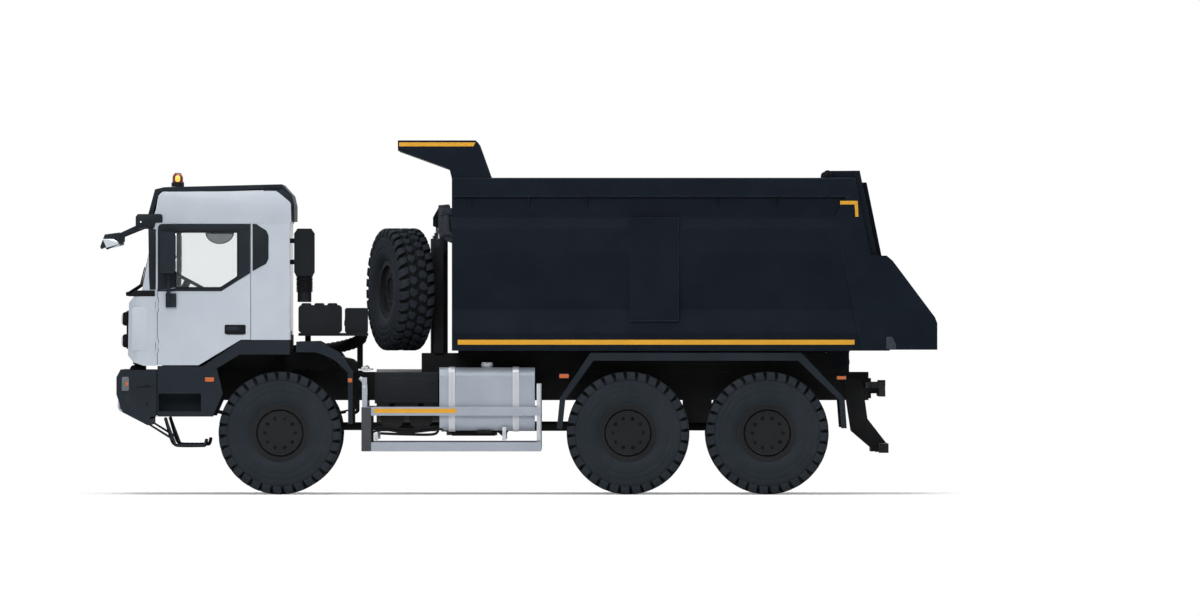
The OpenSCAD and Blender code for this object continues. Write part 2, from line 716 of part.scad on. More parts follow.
hinge_r = 14;
hinge_h = 60;
hinge_zs = [door_z + 170, belt_z - 170];
module cab_front() {
    corner_r = 150;
    color([0.71, 0.74, 0.77]) {
        difference() {
            intersection() {
                side_extrude(-cab_y, cab_y) polygon([
                    [door_x - 137, 1332], [door_x - 246, 1368], [door_x - 302, 1440],
                    [door_x - 292, 1981], [door_x - 246, 2040], [door_x - 165, belt_z],
                    [door_x, belt_z], [door_x, 1332]]);
                union() {
                    box(cab_front_x - 10 + corner_r, door_x, -cab_y, cab_y, 1300, 2200);
                    box(cab_front_x - 10, door_x, -cab_y + corner_r, cab_y - corner_r, 1300, 2200);
                    mirrored_y() translate([cab_front_x - 10 + corner_r, cab_y - corner_r, 1300])
                        cylinder(h = 900, r = corner_r, $fn = 96);
                }
            }
            box(door_x - 250, door_x + 1, -inner_y, inner_y, 1300, belt_z + 1);
            for (z = hinge_zs) mirrored_y() translate([door_x, cab_y, z - 0.5])
                cylinder(h = hinge_h + 1, r = hinge_r + move_gap, $fn = 48);
        }
        for (z = hinge_zs, end = [z - 40.5, z + hinge_h + 0.5]) mirrored_y()
            translate([door_x, cab_y, end]) cylinder(h = 40, r = hinge_r, $fn = 48);
    }
}

module windscreen() {
    color([0.6, 0.7, 0.75]) side_extrude(-inner_y, inner_y) polygon([
        [door_x - 160, belt_z], [door_x - 154, belt_z], [door_x - 38, header_z],
        [door_x - 44, header_z]]);
}

// The black surround over the front wheel that tilts with the cab
module wheel_arches() {
    y0 = track_y - tyre_w / 2 - 20;
    gap = 8;
    color([0.15, 0.17, 0.19]) mirrored_y() side_extrude(y0, cab_y - 5) polygon([
        [door_x + 472, door_z - 12], [door_x + 867, cab_floor_z(2) - gap],
        [door_rear_x + gap, cab_floor_z(2) - gap], [door_rear_x + gap, cab_floor_z(2)],
        [cab_rear_x, cab_floor_z(2)], [cab_rear_x, cab_floor_z(2) - 151],
        [door_x + 852, cab_floor_z(2) - 151], [door_x + 618, door_z - 33]]);
}

module entry_steps() {
    y0 = cab_y - 350;
    y1 = cab_y - 5;
    low = 806;
    color([0.15, 0.17, 0.19]) mirrored_y() {
        difference() {
            side_extrude(y0, y1) polygon([
                [door_x + move_gap, low], [door_x + 575, low], [door_x + 680, 1045],
                [door_x + 617, door_z - 36], [door_x + 470, door_z - 14],
                [door_x + move_gap, door_z - 8]]);
            box(door_x + 15, door_x + 455, y1 - 230, y1 + 1, low + 52, 1045);
        }
        box(door_x + 50, door_x + 400, y0, inner_y - 15, door_z - 20, cab_floor_z(1));
    }
}

module visor_and_beacon() {
    beacon_x = door_x + 208;
    beacon_r = 66;
    color([0.13, 0.14, 0.15]) side_extrude(-cab_y + 150, cab_y - 150) polygon([
        [door_x - 90, 2900], [door_x - 160, 2900], [door_x - 221, 2780], [door_x - 221, 2757],
        [door_x - 206, 2757], [door_x - 150, 2868], [door_x - 90, 2868]]);
    color([0.9, 0.6, 0.1]) {
        translate([beacon_x, -cab_y + 350, 3184.2]) cylinder(h = 45, r = beacon_r, $fn = 48);
        translate([beacon_x, -cab_y + 350, 3228]) cylinder(h = 60, r = beacon_r - 12, $fn = 48);
        translate([beacon_x, -cab_y + 350, 3288]) cylinder(h = 40, r1 = beacon_r - 12, r2 = 30, $fn = 48);
    }
}

module dashboard() {
    wheel_r = 235;
    wheel_at = [door_x + 310, -600, 2215];
    rake = 62;
    color([0.12, 0.12, 0.13]) {
        side_extrude(-inner_y + 6, inner_y - 6) polygon([
            [door_x - 153, belt_z - 130], [door_x - 145, belt_z - 10], [door_x - 40, belt_z + 30],
            [door_x + 90, belt_z + 20], [door_x + 130, belt_z - 120], [door_x + 90, 1780],
            [door_x - 60, 1740], [door_x - 250, 1740], [door_x - 250, belt_z - 130]]);
        translate(wheel_at) rotate([0, -rake + 90, 0]) {
            rotate_extrude($fn = 64) translate([wheel_r - 16, 0]) circle(r = 16, $fn = 24);
            cylinder(h = 30, r = 70, center = true, $fn = 48);
            for (a = [0, 90, 180]) rotate([0, 0, a]) translate([0, -18, -8])
                cube([wheel_r - 20, 36, 16]);
        }
        // Steering column
        translate(wheel_at) rotate([0, -rake + 90, 0]) translate([0, 0, -480])
            cylinder(h = 470, r = 36, $fn = 48);
    }
}

module seats() {
    floor_top = cab_floor_z(2) + 40;
    x0 = door_x + 560;
    color([0.25, 0.26, 0.27]) for (y = [-640, 640]) {
        box(x0 + 320, x0 + 500, y - 180, y + 180, floor_top, floor_top + 151);
        rounded_slab(x0, x0 + 520, y - 240, y + 240, floor_top + 150, floor_top + 290, 50);
        side_extrude(y - 230, y + 230) polygon([
            [x0 + 400, floor_top + 260], [x0 + 530, floor_top + 260],
            [x0 + 700, floor_top + 900], [x0 + 590, floor_top + 900]]);
        rounded_slab(x0 + 600, x0 + 700, y - 130, y + 130, floor_top + 890, floor_top + 1080, 40);
    }
}

module air_snorkel() {
    y0 = -cab_y + 110;
    w = 220;
    x0 = cab_rear_x + 44;
    color([0.1, 0.11, 0.12]) {
        side_extrude(y0, y0 + w) polygon([
            [x0 + 20, 2262], [x0, 2300], [x0, 2700], [x0 + 35, 2751], [x0 + 176, 2751],
            [x0 + 211, 2700], [x0 + 211, 2300], [x0 + 191, 2262]]);
        translate([x0 + 106, y0 + w / 2, 1990]) cylinder(h = 275, r = 72, $fn = 48);
        for (z = [2130 : 30 : 2240]) translate([x0 + 106, y0 + w / 2, z])
            cylinder(h = 14, r = 82, $fn = 48);
        for (z = [2380, 2600]) box(cab_rear_x, x0 + 10, y0 + 60, y0 + 160, z, z + 50);
    }
}

module kerb_mirrors() {
    y1 = cab_y - 90;
    color([0.12, 0.13, 0.14]) mirrored_y() {
        side_extrude(y1 - 40, y1) polygon([
            [door_x - 90, 2840], [door_x - 90, 2790], [door_x - 395, 2668], [door_x - 395, 2700]]);
        side_extrude(y1 - 120, y1 + 80) polygon([
            [door_x - 385, 2710], [door_x - 540, 2690], [door_x - 589, 2560],
            [door_x - 575, 2538], [door_x - 390, 2620]]);
    }
}

// ---- Doors ----

window = [[191, 2137], [191, 2724], [836, 2724], [836, 2252], [659, 2137]];
module door_outline() {
    polygon([
        [door_x + panel_gap, door_z], [door_x + door_sill, door_z],
        [door_x + door_sill + 437, cab_floor_z(2) + 2], [door_rear_x - panel_gap, cab_floor_z(2) + 2],
        [door_rear_x - panel_gap, door_top_z - panel_gap],
        [door_x + 100 + panel_gap, door_top_z - panel_gap], [door_x + panel_gap, belt_z]]);
}

module door(side) {
    color([0.71, 0.74, 0.77]) mirror([0, side < 0 ? 1 : 0, 0]) {
        difference() {
            side_extrude(inner_y, cab_y) difference() {
                door_outline();
                translate([door_x, 0]) polygon(window);
            }
            for (z = hinge_zs, end = [z - 41, z + hinge_h])
                translate([door_x, cab_y, end]) cylinder(h = 41, r = hinge_r + move_gap, $fn = 48);
            rounded_slab(door_x + 714, door_x + 910, cab_y - 30, cab_y + 1, 1650, 1740, 20);
        }
        for (z = hinge_zs) {
            translate([door_x, cab_y, z]) cylinder(h = hinge_h, r = hinge_r, $fn = 48);
            box(door_x, door_x + 30, cab_y - 12, cab_y, z, z + hinge_h);
        }
        box(door_x + 730, door_x + 894, cab_y - 22, cab_y - 8, 1685, 1712);
        box(door_x + 720, door_x + 735, cab_y - 30, cab_y - 8, 1680, 1717);
    }
}

module door_glass(side) {
    color([0.6, 0.7, 0.75]) mirror([0, side < 0 ? 1 : 0, 0])
        side_extrude(cab_y - 40 - glass_t, cab_y - 40) translate([door_x, 0]) polygon(window);
}

module door_mirror(side) {
    x = door_x + 120;
    color([0.12, 0.13, 0.14]) mirror([0, side < 0 ? 1 : 0, 0]) {
        box(x - 30, x + 80, cab_y, cab_y + 35, 1935, 2080);
        translate([x, cab_y + 55, 1990]) cylinder(h = 330, r = 20, $fn = 32);
        box(x - 20, x + 20, cab_y + 30, cab_y + 60, 1990, 2030);
        rounded_slab(x - 80, x + 78, cab_y + 30, cab_y + 240, 2290, 2714, 35);
    }
}

// ---- Bed ----

// Rear edge of the side walls at height z
function rear_edge(z) = tip_x + 142 + (3240 - z) * 357 / 1748;
sill_z = floor_z - 183;
under_z = floor_z - floor_t;
rail_low = bed_top_z - 181;
gate_y = bed_y - 51;
recess_top = hoist_eye_z - 270;
recess_y = 140;
recess_depth = 322;
recess_sheet = 14;
recess_rear = bed_front_x + recess_depth + recess_sheet;

// Cross-section of a side wall, from its top rail down over its pressed folds
wall_section = [
    [bed_y, bed_top_z], [bed_y, rail_low], [bed_y - 50, rail_low], [bed_y - 50, rail_low - 218],
    [bed_y - 12, rail_low - 331], [bed_y - 5, rail_low - 598], [bed_y - 35, 2012], [bed_y - 45, 1912],
    [bed_y - 14, 1675], [bed_y - 30, 1600], [bed_y - 30, sill_z], [bed_in_y, sill_z],
    [bed_in_y, bed_top_z]];

module bed_sides() {
    pillar_in = bed_y - 60;
    color([0.08, 0.11, 0.14]) mirrored_y() {
        intersection() {
            union() {
                translate([bed_front_x, 0, 0]) rotate([90, 0, 90])
                    linear_extrude(bed_rear_x - bed_front_x) polygon(wall_section);
                side_extrude(pillar_in, bed_y) polygon([
                    [bed_front_x + 1843, 1790], [bed_front_x + 1843, rail_low - 218],
                    [bed_front_x + 2345, rail_low - 218], [bed_front_x + 2345, 1790]]);
                side_extrude(pillar_in, bed_y) polygon([
                    [rear_edge(rail_low - 218) - 283, rail_low - 218],
                    [rear_edge(bed_top_z - 10), bed_top_z - 10], [bed_rear_x, bed_top_z - 10],
                    [bed_rear_x, sill_z], [rear_edge(sill_z) - 281, sill_z]]);
            }
            side_extrude(0, bed_y + 1) polygon([
                [bed_front_x, sill_z], [bed_front_x, bed_top_z],
                [rear_edge(bed_top_z), bed_top_z], [rear_edge(sill_z), sill_z]]);
        }
        // The chute's side behind the tailgate
        side_extrude(bed_y - 45, bed_y) polygon([
            [tip_x + 220, 2471], [tip_x + 467, 2471], [tip_x + 530, 2418], [bed_rear_x - 25, 1835],
            [bed_rear_x, 1773], [bed_rear_x, sill_z + 10], [tip_x + 350, sill_z + 10]]);
        // Ear for the tailgate's pin
        difference() {
            union() {
                box(gate_pivot_x - 45, gate_pivot_x + 45, bed_y - 80, bed_y - 40,
                    bed_top_z - 1, gate_pivot_z);
                y_rod(gate_pivot_x, gate_pivot_z, bed_y - 80, bed_y - 40, 45);
            }
            y_rod(gate_pivot_x, gate_pivot_z, bed_y - 81, bed_y - 39, 20 + pin_gap);
        }
    }
}

module bed_floor() {
    bearers = 8;
    bearer_pitch = (tip_x - 300 - recess_rear) / bearers;
    plate_y = rail_y + move_gap;
    color([0.08, 0.1, 0.13]) {
        difference() {
            union() {
                box(bed_front_x + headboard_t, bed_rear_x, -bed_in_y, bed_in_y, under_z, floor_z);
                box(rear_edge(floor_z) + 60, bed_rear_x, -bed_y + 45, bed_y - 45, under_z, floor_z);
            }
            box(bed_front_x, recess_rear, -recess_y - recess_sheet, recess_y + recess_sheet,
                under_z - 1, floor_z + 1);
        }
        for (i = [0 : bearers - 1])
            box(recess_rear + 30 + i * bearer_pitch, recess_rear + 100 + i * bearer_pitch,
                -bed_in_y, bed_in_y, sill_z + 20, under_z);
        mirrored_y() {
            box(bed_front_x + headboard_t, tip_x - 150, flange_y, rail_y, sub_top + pin_gap, under_z);
            side_extrude(plate_y, plate_y + 40) polygon([
                [tip_x - 260, under_z], [tip_x - 60, tip_z], [tip_x + 60, tip_z],
                [tip_x + 135, under_z]]);
            y_rod(tip_x, tip_z, plate_y, plate_y + 40, 70);
            y_rod(tip_x, tip_z, flange_y, plate_y + 1, tip_pin_r);
        }
    }
}

module bed_headboard() {
    lip_x = bed_front_x - 558;
    canopy_z = bed_top_z + 398;
    sheet = 20;
    ear_in = hoist_eye_w / 2 + move_gap;
    color([0.08, 0.11, 0.14]) {
        difference() {
            box(bed_front_x, bed_front_x + headboard_t, -bed_in_y, bed_in_y, sill_z, canopy_z - 10);
            side_extrude(-recess_y, recess_y) polygon([
                [bed_front_x - 1, recess_top], [bed_front_x - 1, sill_z - 1],
                [bed_front_x + headboard_t + 1, sill_z - 1],
                [bed_front_x + headboard_t + 1, recess_top - 180], [bed_front_x, recess_top]]);
        }
        // Sloped recess that gives the raised hoist its room
        difference() {
            side_extrude(-recess_y - recess_sheet, recess_y + recess_sheet) polygon([
                [bed_front_x + 10, recess_top + 20], [recess_rear, floor_z], [recess_rear, under_z],
                [bed_front_x + 10, under_z]]);
            side_extrude(-recess_y, recess_y) polygon([
                [bed_front_x, recess_top], [bed_front_x + recess_depth, floor_z - 20],
                [bed_front_x + recess_depth, under_z - 1], [bed_front_x - 1, under_z - 1]]);
        }
        // Canopy over the cab's back
        mirrored_y() side_extrude(bed_in_y - 1, bed_y - 30) polygon([
            [lip_x, canopy_z], [bed_front_x + 246, canopy_z], [bed_front_x + 279, canopy_z - 30],
            [bed_front_x + 411, bed_top_z], [bed_front_x, bed_top_z],
            [bed_front_x - 24, bed_top_z + 100], [lip_x, canopy_z - 104]]);
        box(lip_x, bed_front_x + 246, -bed_in_y, bed_in_y, canopy_z - sheet, canopy_z);
        box(lip_x, lip_x + sheet, -bed_in_y, bed_in_y, canopy_z - 104, canopy_z);
        side_extrude(-bed_in_y, bed_in_y) polygon([
            [lip_x, canopy_z - 104], [bed_front_x + 1, bed_top_z + 92],
            [bed_front_x + 1, bed_top_z + 112], [lip_x, canopy_z - 84]]);
        // Ears for the hoist's eye
        mirrored_y() {
            side_extrude(ear_in, ear_in + 26) polygon([
                [bed_front_x, hoist_eye_z + 139], [bed_front_x - 150, hoist_eye_z + 139],
                [bed_front_x - 205, hoist_eye_z + 40], [bed_front_x - 205, hoist_eye_z - 50],
                [bed_front_x, hoist_eye_z - 142]]);
            y_rod(hoist_x, hoist_eye_z, ear_in + 26, ear_in + 44, 36);
        }
    }
}

module tailgate() {
    low = floor_z + move_gap + 1;
    top = bed_top_z + 85;
    gap = move_gap + 1;
    color([0.08, 0.11, 0.14]) {
        side_extrude(-gate_y, gate_y) polygon([
            [rear_edge(low) + gap, low], [rear_edge(top) + gap, top],
            [rear_edge(top) + gap + tailgate_t, top], [rear_edge(low) + gap + tailgate_t, low]]);
        for (y = [-900, -450, 0, 450, 900]) side_extrude(y - 40, y + 40) polygon([
            [rear_edge(low + 60) + gap, low + 60], [rear_edge(top - 120) + gap, top - 120],
            [rear_edge(top - 120) + gap + tailgate_t + 50, top - 120],
            [rear_edge(low + 60) + gap + tailgate_t + 50, low + 60]]);
        mirrored_y() {
            side_extrude(bed_y - 120, bed_y - 85) polygon([
                [gate_pivot_x, gate_pivot_z - 38], [rear_edge(top) + gap + 20, gate_pivot_z - 38],
                [rear_edge(top) + gap + 20, top], [gate_pivot_x, gate_pivot_z + 38]]);
            y_rod(gate_pivot_x, gate_pivot_z, bed_y - 120, bed_y - 85, 38);
            y_rod(gate_pivot_x, gate_pivot_z, bed_y - 86, bed_y - 40, 20);
        }
    }
}

// ---- Hoist ----

stage_rs = [for (i = [0 : 3]) (barrel_d - i * stage_step) / 2];
stage_top = hoist_eye_z - 180;               // top of the closed barrel
function stage_low(i) = hoist_z + 80 + i * 25;

module hoist_stage(i) {
    top = i == 3 ? hoist_eye_z : stage_top + i * 30;
    difference() {
        translate([hoist_x, 0, stage_low(i)]) cylinder(h = top - stage_low(i), r = stage_rs[i], $fn = 64);
        if (i < 3) translate([hoist_x, 0, stage_low(i) + 20])
            cylinder(h = top, r = stage_rs[i + 1] + pin_gap, $fn = 64);
    }
}

module hoist_barrel() {
    color([0.2, 0.22, 0.24]) {
        hoist_stage(0);
        y_rod(hoist_x, hoist_z, -barrel_d / 2 - 2, barrel_d / 2 + 2, 75);
        translate([hoist_x, 0, hoist_z]) cylinder(h = 81, r = 75, $fn = 64);
        mirrored_y() y_rod(hoist_x, hoist_z, barrel_d / 2, barrel_d / 2 + 65, 35);
    }
}

module hoist_stage_1() { color([0.75, 0.76, 0.78]) hoist_stage(1); }
module hoist_stage_2() { color([0.75, 0.76, 0.78]) hoist_stage(2); }
module hoist_stage_3() {
    color([0.75, 0.76, 0.78]) {
        hoist_stage(3);
        y_rod(hoist_x, hoist_eye_z, -hoist_eye_w / 2, hoist_eye_w / 2, 60);
    }
}

wheels();
knuckle(-1);  // knuckle_left
knuckle(1);  // knuckle_right
chassis_frame();
tipper_subframe();
engine_block();
driveline();
axles();
leaf_springs();
front_bumper();
lamps();
mudguards();
equipment_box();
battery_box();
air_tanks();
fuel_tank();
silencer();
side_guards();
spare_carrier();
spare_tyre();
spare_rim();
underrun_bar();
tow_coupling();
cab_floor();
cab_shell();
cab_roof();
cab_front();
windscreen();
wheel_arches();
entry_steps();
visor_and_beacon();
dashboard();
seats();
air_snorkel();
kerb_mirrors();
door(-1);  // door_left
door_glass(-1);  // door_left_glass
door_mirror(-1);  // door_left_mirror
door(1);  // door_right
door_glass(1);  // door_right_glass
door_mirror(1);  // door_right_mirror
bed_floor();
bed_headboard();
bed_sides();
tailgate();
hoist_barrel();
hoist_stage_1();
hoist_stage_2();
hoist_stage_3();
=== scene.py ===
import json
import math
import random

import bmesh
import bpy
from mathutils import Matrix, Vector


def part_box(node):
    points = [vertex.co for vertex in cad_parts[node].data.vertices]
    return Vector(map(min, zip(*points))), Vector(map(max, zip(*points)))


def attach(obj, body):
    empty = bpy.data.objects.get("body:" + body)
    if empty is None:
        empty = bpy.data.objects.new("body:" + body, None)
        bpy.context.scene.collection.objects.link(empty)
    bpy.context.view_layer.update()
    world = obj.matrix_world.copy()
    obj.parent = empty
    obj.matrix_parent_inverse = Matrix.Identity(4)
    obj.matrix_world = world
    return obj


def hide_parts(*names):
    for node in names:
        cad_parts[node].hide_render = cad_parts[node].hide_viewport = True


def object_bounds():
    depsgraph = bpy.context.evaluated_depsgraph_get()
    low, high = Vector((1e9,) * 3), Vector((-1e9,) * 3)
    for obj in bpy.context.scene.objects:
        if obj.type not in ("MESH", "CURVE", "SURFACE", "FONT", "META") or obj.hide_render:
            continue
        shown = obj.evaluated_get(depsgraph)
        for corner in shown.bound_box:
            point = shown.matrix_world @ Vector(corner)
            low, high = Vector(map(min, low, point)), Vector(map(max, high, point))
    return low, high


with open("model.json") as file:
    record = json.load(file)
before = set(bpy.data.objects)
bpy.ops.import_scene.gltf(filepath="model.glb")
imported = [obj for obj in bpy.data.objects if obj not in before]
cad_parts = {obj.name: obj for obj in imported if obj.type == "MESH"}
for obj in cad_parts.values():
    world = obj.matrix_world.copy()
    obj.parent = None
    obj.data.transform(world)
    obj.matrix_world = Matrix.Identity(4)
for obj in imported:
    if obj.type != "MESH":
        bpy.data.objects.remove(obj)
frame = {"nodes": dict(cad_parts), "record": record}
cadLow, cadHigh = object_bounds()
nodes = frame["nodes"]
print("truck frame loaded:", len(nodes), "nodes")

# camera, floor and studio light
studio = {
    "aimX": 0.840, "aimZ": 1.934, "viewWidth": 12.48,
    "lens": 600.0, "sensor": 36.0,
    "ambient": 0.36, "keyPower": 2100.0, "topPower": 2300.0, "rimPower": 900.0,
    "shadowLong": 5.8, "shadowWide": 4.0,
}


def makeCamera():
    data = bpy.data.cameras.new("sideCamera")
    data.lens = studio["lens"]
    data.sensor_width = studio["sensor"]
    distance = studio["viewWidth"] * studio["lens"] / studio["sensor"]
    data.clip_start = 1.0
    data.clip_end = 1500.0
    camera = bpy.data.objects.new("sideCamera", data)
    bpy.context.scene.collection.objects.link(camera)
    camera.location = (studio["aimX"], -distance, studio["aimZ"])
    camera.rotation_euler = (math.radians(90), 0, 0)
    bpy.context.scene.camera = camera


def seenDirectly(nodeTree):
    # 1 for camera, glossy and transmitted rays, 0 for the light that falls on the truck
    path = nodeTree.nodes.new("ShaderNodeLightPath")
    first = nodeTree.nodes.new("ShaderNodeMath")
    first.operation = "MAXIMUM"
    nodeTree.links.new(path.outputs["Is Camera Ray"], first.inputs[0])
    nodeTree.links.new(path.outputs["Is Glossy Ray"], first.inputs[1])
    second = nodeTree.nodes.new("ShaderNodeMath")
    second.operation = "MAXIMUM"
    nodeTree.links.new(first.outputs[0], second.inputs[0])
    nodeTree.links.new(path.outputs["Is Transmission Ray"], second.inputs[1])
    return second.outputs[0]


def makeWorld():
    world = bpy.data.worlds.new("softStudio")
    world.use_nodes = True
    tree = world.node_tree
    tree.nodes.clear()
    out = tree.nodes.new("ShaderNodeOutputWorld")
    ambient = tree.nodes.new("ShaderNodeBackground")
    ambient.inputs["Color"].default_value = (0.97, 0.985, 1.0, 1)
    ambient.inputs["Strength"].default_value = studio["ambient"]
    backdrop = tree.nodes.new("ShaderNodeBackground")
    backdrop.inputs["Color"].default_value = (1, 1, 1, 1)
    backdrop.inputs["Strength"].default_value = 1.0
    mix = tree.nodes.new("ShaderNodeMixShader")
    tree.links.new(seenDirectly(tree), mix.inputs[0])
    tree.links.new(ambient.outputs[0], mix.inputs[1])
    tree.links.new(backdrop.outputs[0], mix.inputs[2])
    tree.links.new(mix.outputs[0], out.inputs["Surface"])
    bpy.context.scene.world = world


def makeFloor():
    floorBm = bmesh.new()
    bmesh.ops.create_grid(floorBm, x_segments=8, y_segments=8, size=160.0)
    mesh = bpy.data.meshes.new("studioFloor")
    floorBm.to_mesh(mesh)
    floorBm.free()
    floor = bpy.data.objects.new("studioFloor", mesh)
    bpy.context.scene.collection.objects.link(floor)
    floor.location = (0, 0, cadLow.z - 0.001)
    paper = bpy.data.materials.new("floorPaper")
    paper.use_nodes = True
    tree = paper.node_tree
    tree.nodes.clear()
    out = tree.nodes.new("ShaderNodeOutputMaterial")
    grain = tree.nodes.new("ShaderNodeTexNoise")
    grain.inputs["Scale"].default_value = 1.5
    ramp = tree.nodes.new("ShaderNodeMapRange")
    ramp.inputs["To Min"].default_value = 0.78
    ramp.inputs["To Max"].default_value = 0.82
    tree.links.new(grain.outputs["Fac"], ramp.inputs["Value"])
    diffuse = tree.nodes.new("ShaderNodeBsdfDiffuse")
    tree.links.new(ramp.outputs[0], diffuse.inputs["Color"])
    glow = tree.nodes.new("ShaderNodeEmission")
    glow.inputs["Strength"].default_value = 0.24
    lit = tree.nodes.new("ShaderNodeAddShader")
    tree.links.new(diffuse.outputs[0], lit.inputs[0])
    tree.links.new(glow.outputs[0], lit.inputs[1])
    # the shadow fades into plain white paper a few metres from the truck
    away = tree.nodes.new("ShaderNodeTexCoord")
    squeeze = tree.nodes.new("ShaderNodeMapping")
    squeeze.inputs["Scale"].default_value = (1 / studio["shadowLong"], 1 / studio["shadowWide"], 1.0)
    tree.links.new(away.outputs["Object"], squeeze.inputs["Vector"])
    reach = tree.nodes.new("ShaderNodeVectorMath")
    reach.operation = "LENGTH"
    tree.links.new(squeeze.outputs[0], reach.inputs[0])
    fade = tree.nodes.new("ShaderNodeMapRange")
    fade.inputs["From Min"].default_value = 0.78
    tree.links.new(reach.outputs["Value"], fade.inputs["Value"])
    white = tree.nodes.new("ShaderNodeEmission")
    faded = tree.nodes.new("ShaderNodeMixShader")
    tree.links.new(fade.outputs[0], faded.inputs[0])
    tree.links.new(lit.outputs[0], faded.inputs[1])
    tree.links.new(white.outputs[0], faded.inputs[2])
    mix = tree.nodes.new("ShaderNodeMixShader")
    tree.links.new(seenDirectly(tree), mix.inputs[0])
    tree.links.new(diffuse.outputs[0], mix.inputs[1])
    tree.links.new(faded.outputs[0], mix.inputs[2])
    tree.links.new(mix.outputs[0], out.inputs["Surface"])
    mesh.materials.append(paper)


def makeLamp(name, power, size, place, target):
    data = bpy.data.lights.new(name, "AREA")
    data.shape = "RECTANGLE"
    data.size = size[0]
    data.size_y = size[1]
    data.energy = power
    lamp = bpy.data.objects.new(name, data)
    bpy.context.scene.collection.objects.link(lamp)
    lamp.location = place
    aim = Vector(target) - Vector(place)
    lamp.rotation_euler = aim.to_track_quat("-Z", "Y").to_euler()


bpy.context.scene.view_settings.view_transform = "Standard"
makeCamera()
makeWorld()
makeFloor()
makeLamp("keyPanel", studio["keyPower"], (16, 8), (-6, -20, 12), (0.2, 0, 1.4))
makeLamp("topPanel", studio["topPower"], (14, 8), (0, -1, 14), (0, 0, 0))
makeLamp("backPanel", studio["rimPower"], (12, 6), (9, 14, 9), (0, 0, 1.5))
print("camera, floor and lamps ready")

